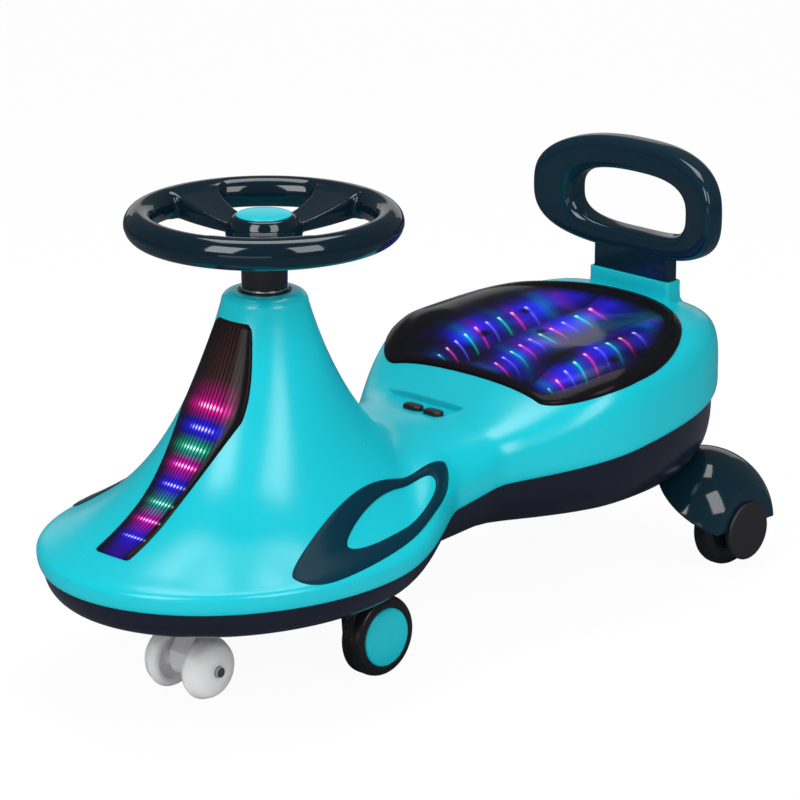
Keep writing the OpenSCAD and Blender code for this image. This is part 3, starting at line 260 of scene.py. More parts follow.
tone = new_node(moulded, "ShaderNodeHueSaturation", Color=given["Colour"], Value=drift + 1.0)
smears = (Flow(moulded, smear.outputs[0]) - SMEAR_MIDDLE) * SMEAR_SHARE
feed(moulded, tone.outputs[0], handed["Colour"])
feed(moulded, smears.math("ADD", given["Gloss roughness"], clamp=True), handed["Roughness"])
feed(moulded, grain.outputs[0], handed["Height"])
print("moulded finish", len(moulded.nodes), "nodes")

# %% Plastics, steel and board
GRAIN_DEPTH = 0.0004


def plastic(name, colour, gloss=0.15, drift=0.06, grain_size=700.0, bump=0.02, **more):
    """A moulded finish. More keywords feed the shader's own sockets."""
    material = bare_material(name)
    tree = material.node_tree
    effect = tree.nodes.new("ShaderNodeGroup")
    effect.node_tree = moulded
    for label, value in (("Colour", (*colour, 1)), ("Gloss roughness", gloss), ("Drift", drift),
                         ("Grain size", grain_size)):
        effect.inputs[label].default_value = value
    made = effect.outputs
    relief = new_node(tree, "ShaderNodeBump", Strength=bump, Distance=GRAIN_DEPTH, Height=made["Height"])
    surface = new_node(tree, "ShaderNodeBsdfPrincipled", IOR=1.5, Base_Color=made["Colour"],
                       Roughness=made["Roughness"], Normal=relief.outputs[0], **more)
    new_node(tree, "ShaderNodeOutputMaterial", Surface=surface.outputs[0])
    return material


def surface_of(material):
    """The sockets of a material's shader."""
    return material.node_tree.nodes["Principled BSDF"].inputs


teal = plastic("teal_gloss", (0.001, 0.475, 0.565), 0.25, 0.05)
petrol = plastic("petrol_gloss", (0.003, 0.018, 0.030), 0.07, 0.10)
trim_petrol = plastic("trim_petrol", (0.001, 0.026, 0.046), 0.3, 0.10, Specular_IOR_Level=0.09)
night_blue = plastic("night_blue_gloss", (0.006, 0.008, 0.018), 0.2, 0.10)
button_black = plastic("button_black", (0.010, 0.010, 0.011), 0.32, 0.1, 900.0, 0.08)
disc_black = plastic("disc_black", (0.014, 0.013, 0.016), 0.42, 0.1, 900.0, 0.10)
tyre_black = plastic("tyre_black", (0.008, 0.008, 0.009), 0.28, 0.1, 800.0, 0.06)
leg_black = plastic("leg_black", (0.012, 0.012, 0.014), 0.4, 0.1, 800.0, 0.08)
natural_white = plastic("natural_white", (0.70, 0.70, 0.72), 0.35, 0.03, 800.0, 0.05)
milky = plastic("milky_wheel", (0.97, 0.97, 0.99), 0.22, 0.02, 500.0, 0.04, Subsurface_Weight=0.5,
                Subsurface_Radius=(0.012, 0.012, 0.014), Subsurface_Scale=1.0, Transmission_Weight=0.05)
steel = plastic("bright_steel", (0.62, 0.62, 0.64), 0.24, 0.08, 1500.0, 0.05, Metallic=1.0)
board_green = plastic("board_green", (0.01, 0.14, 0.06), 0.4, 0.2, 600.0, 0.05)
print("finishes", len(bpy.data.materials))

# %% [markdown]
# The skin of the body
#
# The upper shell is one moulding: a flared cone rises out of an oval lobe, a deck runs back through
# a narrow waist, and the seat swells up behind it. The same rule that shaped the solid is written
# here again, in millimetres, and sampled much more finely, because gloss shows every facet.

# %% Sizes of the body
MM = 0.001
BODY_LEN, FRONT_W, WAIST_W, SEAT_W = 800.0, 335.0, 196.0, 312.0
NOSE_X, TAIL_X = BODY_LEN / 2, -BODY_LEN / 2
LOBE_X, COLUMN_X, SEAT_X = 0.256 * BODY_LEN, 0.2139 * BODY_LEN, -0.216 * BODY_LEN
LOBE_TAIL, SEAT_NOSE, TURN_X = 0.2436 * BODY_LEN, 0.1775 * BODY_LEN, 0.0216 * BODY_LEN
FLOOR_CLEAR, SIDE_WHEEL_D, TRAY_H, BOTTOM_SHARE = 2.0, 73.0, 29.0, 1.22
BOTTOM_Z = FLOOR_CLEAR + BOTTOM_SHARE * SIDE_WHEEL_D
SEAM_Z0 = BOTTOM_Z + TRAY_H
SEAM_RISE, COLUMN_H, DECK_H, SEAT_H, DISH_H = 48.0, 236.0, 79.0, 129.0, 14.0
LIP_H = 0.057 * COLUMN_H
LIP_IN, BRIM_H = 0.43 * LIP_H, 0.6 * LIP_H
TOP_Z, DECK_Z, SEAT_Z = SEAM_Z0 + COLUMN_H, SEAM_Z0 + DECK_H, SEAM_Z0 + SEAT_H
HOLE_R, FLAT_R, CONE_R, FLARE = 15.6, 28.8, 39.4, 2.5
print("column top", round(TOP_Z, 1), "deck", round(DECK_Z, 1), "seat", round(SEAT_Z, 1), "mm")

# %% Easing helpers
def ease(u):
    """From nil to one with a soft start and a soft end."""
    c = np.clip(u, 0, 1)
    return c * c * (3 - 2 * c)


def falling(x, start, length):
    """From nil to one towards the tail. Start and length are shares of the body's length."""
    return ease((start * BODY_LEN - x) / (length * BODY_LEN))


def rising(x, start, length):
    """From nil to one towards the nose, in the same shares."""
    return ease((x - start * BODY_LEN) / (length * BODY_LEN))


def dome(u):
    """Height of a half circle over u from minus one to one."""
    return np.sqrt(np.maximum(0, 1 - u * u))


def soft_max(a, b, k):
    """The larger of two values, rounded over where they come within k of each other."""
    h = np.clip(0.5 + (a - b) / (2 * k), 0, 1)
    return b + (a - b) * h + k * h * (1 - h)


def mix(a, b, f):
    """The value a share f of the way from a to b."""
    return a + (b - a) * f


print("a quarter eased", float(ease(0.25)))

# %% Outline, seam and crown
def half_w(x):
    """Half the body's width: two ovals, softly joined at the waist."""
    lobe = FRONT_W / 2 * dome((x - LOBE_X) / np.where(x > LOBE_X, NOSE_X - LOBE_X, LOBE_TAIL))
    seat = SEAT_W / 2 * dome((x - SEAT_X) / np.where(x > SEAT_X, SEAT_NOSE, SEAT_X - TAIL_X))
    wide = np.maximum(lobe, seat)
    return np.where((x < LOBE_X) & (x > SEAT_X), soft_max(wide, WAIST_W / 2, 0.285 * WAIST_W), wide)


def seam_z(x):
    return SEAM_Z0 + SEAM_RISE * np.sin(np.pi / 2 * falling(x, 0.2019, 0.697))


def wide_z(x):
    """Height of the widest line, at the top of the rounded lip."""
    return seam_z(x) + LIP_H


def crown_z(x):
    """Height of the ridge along the middle, from the deck up over the seat."""
    t = np.clip((-0.392 * BODY_LEN - x) / (-0.392 * BODY_LEN - TAIL_X), 0, 1)
    z = (DECK_Z + (SEAT_Z - DECK_Z) * falling(x, -0.0565, 0.1623)
         + 0.05 * SEAT_H * falling(x, -0.1827, 0.18))
    z = mix(z, wide_z(x) + BRIM_H, rising(x, 0.0036, 0.18))
    return mix(wide_z(x), z, np.maximum(0, 1 - t ** 2.2) ** 0.55)


print("half widths", [round(float(half_w(np.array(x))), 1) for x in (LOBE_X, TURN_X, SEAT_X)], "mm")

# %% Deck, column and the whole skin
def deck_skin(x, y):
    """Height of the deck and the dished seat, as if there were no column."""
    n = 2.6 + 2 * ease(-x / (0.18 * BODY_LEN)) + 5 * rising(x, 0.0036, 0.18)
    u = np.clip(np.abs(y) / np.maximum(half_w(x), 1e-3), 0, 1)
    dish = (DISH_H * falling(x, -0.1166, 0.084) * rising(x, -0.4135, 0.072)
            * (1 - ease(np.abs(y) / (0.371 * SEAT_W))))
    return mix(wide_z(x), crown_z(x), np.maximum(0, 1 - u ** n) ** (1 / n)) - dish


def base_reach(c, s, a, b):
    """Reach from the column to the oval of the front lobe, in the heading (c, s)."""
    dx = COLUMN_X - LOBE_X
    qa, qb, qc = (c / a) ** 2 + (s / b) ** 2, 2 * dx * c / a ** 2, (dx / a) ** 2 - 1
    return (-qb + np.sqrt(qb * qb - 4 * qa * qc)) / (2 * qa)


def cone_skin(x, y):
    """Height of the column and its flared foot."""
    r = np.maximum(np.hypot(x - COLUMN_X, y), 1e-6)
    c, s = (x - COLUMN_X) / r, y / r
    front = base_reach(c, s, NOSE_X - LOBE_X, FRONT_W / 2)
    base = np.where(COLUMN_X + front * c > LOBE_X, front, base_reach(c, s, LOBE_TAIL * 1.5, FRONT_W / 2))
    t = np.clip((r - CONE_R) / (base - CONE_R), 0, 1.3)
    g = (np.exp(-FLARE * t) - np.exp(-FLARE)) / (1 - np.exp(-FLARE))
    shoulder = CONE_R - FLAT_R
    top = TOP_Z - shoulder + shoulder * dome(np.clip((r - FLAT_R) / shoulder, 0, 1))
    return np.where(r > CONE_R, mix(wide_z(NOSE_X) + BRIM_H, TOP_Z - shoulder, g), top)


def skin_z(x, y):
    """Height of the whole skin, with the lip of the front lobe rounded over."""
    crease = DECK_H * (0.1 + 0.22 * falling(x, 0.2, 0.15))
    z = soft_max(cone_skin(x, y), deck_skin(x, y), crease)
    edge = np.where(x > LOBE_X, np.hypot((x - LOBE_X) / (NOSE_X - LOBE_X), 2 * y / FRONT_W),
                    np.abs(y) / np.maximum(half_w(x), 1e-3))
    lip = np.maximum(0, 1 - np.clip(edge, 0, 1) ** 12) ** (1 / 3)
    return mix(z, mix(wide_z(x), z, lip), rising(x, -0.05, 0.145))


def skin_points(x, y, lift):
    """Points over the skin, lifted off it along its normal."""
    x, y = np.asarray(x, float), np.asarray(y, float)
    near = 0.25
    slope_x = (skin_z(x + near, y) - skin_z(x - near, y)) / (2 * near)
    slope_y = (skin_z(x, y + near) - skin_z(x, y - near)) / (2 * near)
    steep = np.sqrt(1 + slope_x ** 2 + slope_y ** 2)
    lift = lift / steep
    return np.stack([x - lift * slope_x, y - lift * slope_y, skin_z(x, y) + lift], -1)


print("skin over the seat", round(float(skin_z(np.array(SEAT_X), np.array(0.0))), 1), "mm")

# %% [markdown]
# Turning points into pieces
#
# Most pieces here are grids of points joined by quads. One helper makes the object, gives it its
# finish, smooths its faces and keeps hard edges where two faces meet at more than a set angle.

# %% Pieces from grids of points
def make_piece(name, points, faces, finish, hard=35.0, uv=None, tidy=True):
    """An object from points in millimetres, with edges over the hard angle kept sharp."""
    mesh = bpy.data.meshes.new(name)
    mesh.from_pydata([tuple(p * MM) for p in np.asarray(points, float)], [], faces)
    if uv is not None:
        layer = mesh.uv_layers.new(name="lights")
        for loop in mesh.loops:
            layer.data[loop.index].uv = uv[loop.vertex_index]
    bm = bmesh.new()
    bm.from_mesh(mesh)
    if tidy:
        bmesh.ops.remove_doubles(bm, verts=bm.verts, dist=1e-6)
        bmesh.ops.recalc_face_normals(bm, faces=bm.faces)
    limit = math.radians(hard)
    for edge in bm.edges:
        edge.smooth = len(edge.link_faces) != 2 or edge.calc_face_angle(0.0) < limit
    for face in bm.faces:
        face.smooth = True
    bm.to_mesh(mesh)
    bm.free()
    mesh.materials.append(finish)
    piece = bpy.data.objects.new(name, mesh)
    bpy.context.collection.objects.link(piece)
    return piece


def grid_faces(rows, cols, first=0, closed=False):
    """Quads between rows of points, from a first index on. Closed rows run round."""
    faces = []
    for i in range(rows - 1):
        for j in range(cols if closed else cols - 1):
            k = (j + 1) % cols
            faces.append((first + i * cols + j, first + i * cols + k,
                          first + (i + 1) * cols + k, first + (i + 1) * cols + j))
    return faces


def loops_piece(name, loops, finish, cap_first=False, cap_last=False, joined=False, **more):
    """Closed loops of points, skinned one to the next."""
    count = len(loops[0])
    points = np.concatenate(loops)
    faces = grid_faces(len(loops), count, 0, True)
    if joined:
        last = (len(loops) - 1) * count
        faces += [(last + j, last + (j + 1) % count, (j + 1) % count, j) for j in range(count)]
    if cap_first:
        faces.append(tuple(range(count)))
    if cap_last:
        faces.append(tuple((len(loops) - 1) * count + j for j in range(count)))
    return make_piece(name, points, faces, finish, **more)


print("a grid of 3 by 4 points has", len(grid_faces(3, 4)), "faces")

# %% Turned pieces
def turned(name, profile, centre, axis, finish, steps=96, **more):
    """A profile of (radius, along) points spun round an axis, Y or Z, from a centre."""
    angle = np.linspace(0, 2 * np.pi, steps, endpoint=False)
    loops = []
    for radius, along in profile:
        a, b = radius * np.cos(angle), radius * np.sin(angle)
        c = np.full(steps, float(along))
        xyz = {"Y": (a, c, b), "Z": (a, b, c)}[axis]
        loops.append(np.stack(xyz, -1) + np.asarray(centre, float))
    return loops_piece(name, loops, finish, **more)


def rounded(profile, radius=1.0, steps=5):
    """A profile with each inner corner replaced by a short curve."""
    out = [profile[0]]
    for before, here, after in zip(profile, profile[1:], profile[2:]):
        b, h, a = (np.asarray(p[:2], float) for p in (before, here, after))
        r = here[2] if len(here) > 2 else radius
        r = min(r, np.linalg.norm(b - h) / 2.05, np.linalg.norm(a - h) / 2.05)
        start = h + (b - h) / np.linalg.norm(b - h) * r
        end = h + (a - h) / np.linalg.norm(a - h) * r
        for t in np.linspace(0, 1, steps):
            out.append(tuple((1 - t) ** 2 * start + 2 * t * (1 - t) * h + t * t * end))
    out.append(profile[-1])
    return [tuple(p[:2]) for p in out]


print("a corner is rounded with", len(rounded([(0, 0), (4, 0), (4, 4)])) - 2, "points")

# %% Riding a body
def settle(piece, body, slot, *stands_for):
    """Put a piece on its body and hide the solids that it stands for. Its slot is not used."""
    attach(piece, body)
    if stands_for:
        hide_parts(*stands_for)


def baked(piece):
    """The piece with its modifiers applied for good."""
    graph = bpy.context.evaluated_depsgraph_get()
    mesh = bpy.data.meshes.new_from_object(piece.evaluated_get(graph))
    piece.modifiers.clear()
    piece.data = mesh
    return piece


# %% [markdown]
# Upper shell
#
# The grid runs in rays from the column out to the rim of the front lobe, and in rows across the
# waist and seat. A shelf for the buttons is pressed into the deck: steep at the back, fading out at
# the front. The grid itself is as thin as paper, so Solidify gives it a wall, inwards.

# %% Button shelf
SHELF_BACK, SHELF_FRONT, SHELF_RIGHT, SHELF_LEFT = -58.4, -12.0, -76.0, 28.4
SHELF_DEEP, BACK_FADE, FRONT_FADE, RIGHT_FADE, LEFT_FADE = 0.06 * DECK_H, 2.0, 6.0, 16.0, 5.0


def shelf_skin(x, y):
    """The skin with the button shelf pressed into it."""
    z = skin_z(x, y)
    slope = np.clip((x - SHELF_BACK) / (SHELF_FRONT - SHELF_BACK), 0, 1)
    floor_z = DECK_Z - SHELF_DEEP * (1 - slope)
    inside = (ease((x - SHELF_BACK) / BACK_FADE + 0.5) * ease((SHELF_FRONT - x) / FRONT_FADE + 0.5)
              * ease((y - SHELF_RIGHT) / RIGHT_FADE) * ease((SHELF_LEFT - y) / LEFT_FADE + 0.5))
    return z - np.maximum(0, z - floor_z) * inside


print("shelf depth", round(SHELF_DEEP, 2), "mm")

# %% Rim of the body
FRONT_N, CUT_N, BACK_STEPS, STEEP_STEP = 90, 120, 90, 0.4
# Rows lie close together where the shelf's back is steep.
back_x = np.unique(np.concatenate([
    mix(TURN_X, TAIL_X, np.sin(np.linspace(0, np.pi / 2, BACK_STEPS))),
    np.arange(SHELF_BACK - BACK_FADE, SHELF_BACK + BACK_FADE, STEEP_STEP)]))[::-1]
front_x = mix(TURN_X, NOSE_X, np.cos(np.linspace(0, np.pi / 2, FRONT_N + 1)))
rim_x = np.concatenate([front_x, back_x[1:]])
rim_y = half_w(rim_x)
rim_y[0] = rim_y[-1] = 0
STATIONS = len(rim_x) - 1
BACK_N = STATIONS - FRONT_N
loop_x = np.concatenate([rim_x, rim_x[-2:0:-1]])
loop_y = np.concatenate([rim_y, -rim_y[-2:0:-1]])
LOOP_N = len(loop_x)
tangent = np.stack([np.roll(v, -1) - np.roll(v, 1) for v in (loop_x, loop_y)], -1)
tangent /= np.linalg.norm(tangent, axis=1)[:, None]
outward = np.stack([tangent[:, 1], -tangent[:, 0]], -1)


def lip_loop(angle):
    """One turn round the rounded lip, from the widest line at nil down to the seam at a right angle."""
    inset = LIP_IN * (1 - math.cos(angle))
    return np.stack([loop_x - outward[:, 0] * inset, loop_y - outward[:, 1] * inset,
                     wide_z(loop_x) - LIP_H * math.sin(angle)], -1)


print("rim stations", STATIONS, "points round the rim", LOOP_N)

# %% Points of the upper shell
ROW_N = 64
RAY_N = 2 * FRONT_N + CUT_N
cut_y = half_w(np.array(TURN_X)) * np.cos(np.linspace(0, np.pi, CUT_N + 1))
ray_end = np.concatenate([
    np.stack([rim_x[:FRONT_N + 1], rim_y[:FRONT_N + 1]], -1),
    np.stack([np.full(CUT_N - 1, TURN_X), cut_y[1:-1]], -1),
    np.stack([rim_x[FRONT_N:0:-1], -rim_y[FRONT_N:0:-1]], -1)])
to_end = ray_end - np.array([COLUMN_X, 0])
reach = np.linalg.norm(to_end, axis=1)
SHOULDER_ROWS = [0, 0.4, 0.6, 0.7, 0.78, 0.85, 0.91, 0.96, 0.99, 1.0]
lip_angles = np.radians([90, 72, 54, 36, 18, 0])
points = [lip_loop(angle) for angle in lip_angles]
RIM_FIRST = (len(lip_angles) - 1) * LOOP_N
ray_first = len(lip_angles) * LOOP_N
for j in range(ROW_N):
    outer = j - len(SHOULDER_ROWS) + 1
    if outer < 1:
        r = np.full(RAY_N, mix(HOLE_R, CONE_R, SHOULDER_ROWS[j]))
    else:
        r = mix(CONE_R, reach, math.sin(math.pi / 2 * outer / (ROW_N - len(SHOULDER_ROWS) + 1)))
    x, y = COLUMN_X + to_end[:, 0] / reach * r, to_end[:, 1] / reach * r
    points.append(np.stack([x, y, shelf_skin(x, y)], -1))
cut_first = ray_first + ROW_N * RAY_N
for b in range(BACK_N):
    x = np.full(CUT_N - 1, rim_x[FRONT_N + b])
    y = half_w(x) * np.cos(np.linspace(0, np.pi, CUT_N + 1))[1:-1]
    points.append(np.stack([x, y, shelf_skin(x, y)], -1))
print("shell points", sum(len(part) for part in points))

# %% Faces of the upper shell
SHELL_WALL = 2.5


def row_id(b, i):
    """Index of a point in a row across the waist or the seat. Its ends lie on the rim."""
    if b == BACK_N:
        return RIM_FIRST + STATIONS
    if i == 0:
        return RIM_FIRST + FRONT_N + b
    if i == CUT_N:
        return RIM_FIRST + LOOP_N - FRONT_N - b
    return cut_first + b * (CUT_N - 1) + i - 1


def ray_id(j, a):
    """Index of a point on a ray from the column. Its outer end lies on the rim or on the first row."""
    a %= RAY_N
    if j < ROW_N:
        return ray_first + j * RAY_N + a
    if a <= FRONT_N:
        return RIM_FIRST + a
    if a < FRONT_N + CUT_N:
        return row_id(0, a - FRONT_N)
    return RIM_FIRST + LOOP_N - RAY_N + a


shell_faces = grid_faces(len(lip_angles), LOOP_N, 0, True)
shell_faces += [(ray_id(j, a), ray_id(j, a + 1), ray_id(j + 1, a + 1), ray_id(j + 1, a))
                for j in range(ROW_N) for a in range(RAY_N)]
for b in range(BACK_N):
    for i in range(CUT_N):
        ids = (row_id(b, i), row_id(b, i + 1), row_id(b + 1, i + 1), row_id(b + 1, i))
        shell_faces.append(tuple(dict.fromkeys(ids)))
upper = make_piece("upper_body", np.concatenate(points), shell_faces, teal, 40.0)
wall = upper.modifiers.new("wall", "SOLIDIFY")
wall.thickness, wall.offset = SHELL_WALL * MM, -1
settle(baked(upper), "body", "teal", "upper_shell", "button_tray")
print("upper shell faces", len(upper.data.polygons))

# %% [markdown]
# Lower shell
#
# The tray under the seam is a quarter round all the way round, set in a little from the lip above,
# so a fine shadow line runs along the seam. A bevelled copy of the outline could give that too, but
# loops drawn by the same rule as the lip keep the seam even. The flat bottom closes the tray.

# %% Lower shell
SEAM_GAP, DOOR_PROUD, TUCK_UP = 0.2, 0.4, 5.0
depth = seam_z(loop_x) - SEAM_GAP - BOTTOM_Z - DOOR_PROUD
roundness = 2 / (2 + 0.9 * falling(loop_x, -0.1, 0.25))


def tray_loop(angle, rise=0.0):
    """One turn round the tray, from the seam at nil down to the flat bottom at a right angle."""
    inset = LIP_IN + depth * (1 - np.abs(math.cos(angle)) ** roundness)
    return np.stack([loop_x - outward[:, 0] * inset, loop_y - outward[:, 1] * inset,
                     seam_z(loop_x) - SEAM_GAP - depth * math.sin(angle) ** roundness + rise], -1)


lower_loops = [tray_loop(0, TUCK_UP)] + [tray_loop(a) for a in np.radians(np.linspace(0, 90, 19))]
lower_points = np.concatenate(lower_loops)
lower_faces = grid_faces(len(lower_loops), LOOP_N, 0, True)
last = (len(lower_loops) - 1) * LOOP_N
for k in range(STATIONS):
    ids = (last + k, last + k + 1, last + (LOOP_N - k - 1) % LOOP_N, last + (LOOP_N - k) % LOOP_N)
    lower_faces.append(tuple(dict.fromkeys(ids)))
lower = make_piece("lower_body", lower_points, lower_faces, night_blue, 40.0)
settle(lower, "body", "dark_blue", "lower_shell")
print("lower shell faces", len(lower.data.polygons))

# %% [markdown]
# Smoked covers
#
# The seat and the front of the column carry smoked covers that follow the skin. Below them small
# lights shine through. The light is drawn by the material: colour over place, as on the real car,
# with fine ribs in the front cover and curved streaks in the seat. Each cover stores its own map.

# %% Light pattern helpers
MAP_MM, SINK = 100.0, -0.8


def ramp(value, stops, blend="LINEAR"):
    """A colour for each value of a flow. A stop is a value and a colour, or a grey as one number."""
    node = new_node(value.tree, "ShaderNodeValToRGB")
    band = node.color_ramp
    band.interpolation = blend
    while len(band.elements) < len(stops):
        band.elements.new(0.5)
    stops = sorted(stops, key=lambda stop: stop[0])
    for element, stop in zip(band.elements, stops):
        element.position = stop[0]
    for element, (_, colour) in zip(band.elements, stops):
        element.color = (*colour, 1) if isinstance(colour, tuple) else (colour, colour, colour, 1)
    feed(value.tree, value, node.inputs[0])
    return Flow(value.tree, node.outputs[0])


def tint(blend, a, b):
    """Two colours added or multiplied, with no limit on the result."""
    node = a.tree.nodes.new("ShaderNodeMix")
    node.data_type, node.blend_type, node.clamp_result = "RGBA", blend, False
    for slot, value in ((0, 1.0), (6, a), (7, b)):
        feed(a.tree, value, node.inputs[slot])
    return Flow(a.tree, node.outputs[2])


def smoked(name, strength):
    """A clear black finish whose lights shine with the given strength."""
    return plastic(name, (0.006, 0.006, 0.008), 0.16, 0.1, 500.0, 0.006, Emission_Strength=strength,
                   Specular_IOR_Level=0.07)


def map_of(material, layer):
    """The two numbers that a piece's own map gives at each place."""
    tree = material.node_tree
    place = tree.nodes.new("ShaderNodeUVMap")
    place.uv_map = layer
    parts = new_node(tree, "ShaderNodeSeparateXYZ", Vector=place.outputs[0])
    return Flow(tree, parts.outputs[0]), Flow(tree, parts.outputs[1])


print("map unit", MAP_MM, "mm")

# %% [markdown]
# Front light cover
#
# The cover is narrow at the top, widest about a quarter of the way down and narrow again at the foot.
# Its map holds the reach from the steering axis and the distance from the middle. Eight bands repeat
# magenta, blue and green, each with a bright core, and ribs cut them into fine lines. A picture could
# do this as well, but sums over the map stay sharp at any distance.

# %% Front light pattern
REACH_0, REACH_1, COVER_T = 0.0535 * BODY_LEN, 0.239 * BODY_LEN, 3.0
LIGHT_W, PEAK, RIB_PITCH = 75.0, 0.225, 3.6
HEAD_SHARE, FOOT_SHARE = 0.58, 0.57
BANDS = [74.0, 84.5, 95.0, 106.0, 119.5, 134.0, 150.0, 168.0]
BAND_HALF, CORE_HALF, BAND_EDGE = 0.024, 0.009, 0.3
MAGENTA, BLUE, GREEN, DARK = (0.85, 0.0, 0.36), (0.01, 0.01, 1.0), (0.0, 0.55, 0.22), (0.005, 0.0, 0.05)
CORE_SIDE, CORE_TIGHT, SPARK = 0.07, 7.0, 0.6


def light_half(u):
    """Half the cover's width at a share u of its length."""
    up = mix(HEAD_SHARE, 1, np.sin(np.pi / 2 * np.clip(u / PEAK, 0, 1)))
    down = mix(FOOT_SHARE, 1, (1 - np.clip((u - PEAK) / (2 * PEAK), 0, 1)) ** 2)
    return LIGHT_W / 2 * np.where(u < PEAK, up, down)


front_glow = smoked("front_smoked_cover", 2.2)
reach_at, side_at = map_of(front_glow, "lights")
# The first two stops paint a faint brown glow over the top of the cover, where no lamp lies below: a painted
# sheen on the smoked plastic.
stops, cores = [(0.0, (0.010, 0.003, 0.001)), (0.13, (0.030, 0.009, 0.005))], [(0.0, 0)]
for k, band in enumerate(BANDS):
    middle = (band - REACH_0) / (REACH_1 - REACH_0)
    hue = (MAGENTA, BLUE, GREEN)[k % 3]
    faint = tuple(BAND_EDGE * c for c in hue)
    stops += [(middle - BAND_HALF, faint), (middle, hue), (middle + BAND_HALF, faint)]
    cores += [(middle - CORE_HALF, 0), (middle, 1), (middle + CORE_HALF, 0)]
stops.append((0.95, DARK))
along = (reach_at - REACH_0 / MAP_MM) / ((REACH_1 - REACH_0) / MAP_MM)
ribs = ((side_at * (2 * math.pi * MAP_MM / RIB_PITCH)).math("SINE") * 0.5 + 0.5) ** 1.6
half_at = ramp(along, [(float(u), float(light_half(u)) / MAP_MM) for u in np.linspace(0, 1, 12)])
fall = ramp(side_at / half_at * 0.5 + 0.5,
            [(0.06, 0), (0.2, 0.1), (0.42, 0.65), (0.62, 1), (0.84, 0.7), (0.93, 0)])
tight = (abs((side_at - CORE_SIDE) * CORE_TIGHT) ** 2.0).left_of_one()
night = ramp(along, [(0.2, 0), (0.4, (0.004, 0.0, 0.05)), (0.95, (0.006, 0.0, 0.09))])
bands = tint("MULTIPLY", ramp(along, stops), fall * (ribs * 0.85 + 0.15))
spark = ramp(along, cores) * tight * ribs * SPARK
front_light = tint("ADD", tint("ADD", bands, tint("MULTIPLY", night, fall)), spark)
feed(front_glow.node_tree, front_light, surface_of(front_glow)["Emission Color"])
print("front light bands", len(BANDS))

# %% Front light cover
ROWS, COLS, END_R = 120, 41, 3.0
across = np.linspace(-1, 1, COLS)
CROWN_SHARE, SIDE_POWER, END_POWER, PROUD = 0.8, 14, 60, 0.2
crown = COVER_T * CROWN_SHARE * np.maximum(0, 1 - np.abs(across) ** SIDE_POWER) ** 0.5


def light_row(u, lift):
    """One row across the cover at a share u of its length, with its places on the map."""
    r = mix(REACH_0, REACH_1, u)
    end = np.clip(1 - np.minimum(u, 1 - u) * (REACH_1 - REACH_0) / END_R, 0, 1)
    y = (light_half(u) - END_R * (1 - np.sqrt(1 - end ** 2))) * across
    points = skin_points(COLUMN_X + np.sqrt(r * r - y * y), y, lift)
    return points, np.stack([np.full_like(y, r), y], -1) / MAP_MM


def light_top(u):
    """How far a row stands off the skin."""
    return PROUD + crown * math.sqrt(max(0.0, 1 - abs(2 * u - 1) ** END_POWER))


places = np.linspace(0, 1, ROWS)
light_rows = [light_row(u, light_top(u)) for u in places] + [light_row(u, SINK) for u in places]
light_points, light_map = (np.concatenate(part) for part in zip(*light_rows))
top_count = ROWS * COLS
light_faces = grid_faces(ROWS, COLS) + [f[::-1] for f in grid_faces(ROWS, COLS, top_count)]
border = (list(range(COLS)) + [i * COLS + COLS - 1 for i in range(1, ROWS)]
          + [(ROWS - 1) * COLS + j for j in range(COLS - 2, -1, -1)]
          + [i * COLS for i in range(ROWS - 2, 0, -1)])
light_faces += [(a, b, top_count + b, top_count + a) for a, b in zip(border, border[1:] + border[:1])]
front_cover = make_piece("front_light_panel", light_points, light_faces, front_glow, 50.0, light_map,
                         tidy=False)
settle(front_cover, "body", "smoked", "front_light_cover", "front_light_strip")
print("front cover", len(front_cover.data.polygons))

# %% [markdown]
# Seat cover
#
# The cover has a bowed front edge and a round back. Its rim stands up a few millimetres and the
# middle lies lower. Three rows of lights run from front to back; each light draws a short bent
# streak, in turn green, pink and violet, over a deep blue glow that dies out before the rim.

# %% Seat light pattern
ROW_AT, ROW_SPLIT = (-0.52, 0.05, 0.92), (-0.15, 0.74)
LAMP_START, LAMP_DENSITY, LAMP_SPREAD, LAMP_SHIFT = -1.1, 11.6, 0.811, 0.42
MIDDLE_DRIFT, DRIFT_FROM, THIRD_SHIFT = 0.13, 0.6, 0.3
LAMPS_LIT, LAMP_HUES, HEAD_AT = 8.5, 3.0, 0.25
STREAK_BOW, STREAK_LEAN, STREAK_THIN = 0.65, 0.3, 6.5
PEGS = [(-1.60, -0.38), (-2.27, -0.46), (-2.03, -0.02), (-1.53, 0.70), (-2.23, 0.56), (-1.65, 1.22)]
PEG_TIGHT = 180.0
seat_glow = smoked("seat_smoked_cover", 1.0)
long_at, wide_at = map_of(seat_glow, "lights")
rim_at = map_of(seat_glow, "rim")[0]
second, third = (wide_at.math("GREATER_THAN", split_at) for split_at in ROW_SPLIT)
middle_row = second - third
depth_at = LAMP_START - long_at
from_row = wide_at - ROW_AT[0] - second * (ROW_AT[1] - ROW_AT[0]) - third * (ROW_AT[2] - ROW_AT[1])
from_row = from_row + middle_row * ((depth_at - DRIFT_FROM) * MIDDLE_DRIFT)
behind = (from_row * (from_row * STREAK_BOW + STREAK_LEAN) + depth_at).math("MAXIMUM", -1.0)
lamp_at = (behind * LAMP_SPREAD + 1.0).math("LOGARITHM", math.e) * LAMP_DENSITY
lamp_at = lamp_at + LAMP_SHIFT + third * THIRD_SHIFT
lamp_no = lamp_at.math("FLOOR")
line = (abs(lamp_at - lamp_no - 0.5) * STREAK_THIN).left_of_one() ** 1.3
in_row = lamp_no - middle_row
lit = in_row.math("GREATER_THAN", -0.5) * in_row.math("LESS_THAN", middle_row + LAMPS_LIT)
behind_head = from_row + HEAD_AT
trail = line * ramp(behind_head, [(0.235, 0), (0.255, 1), (0.36, 0.75), (0.5, 0.4), (0.68, 0)])
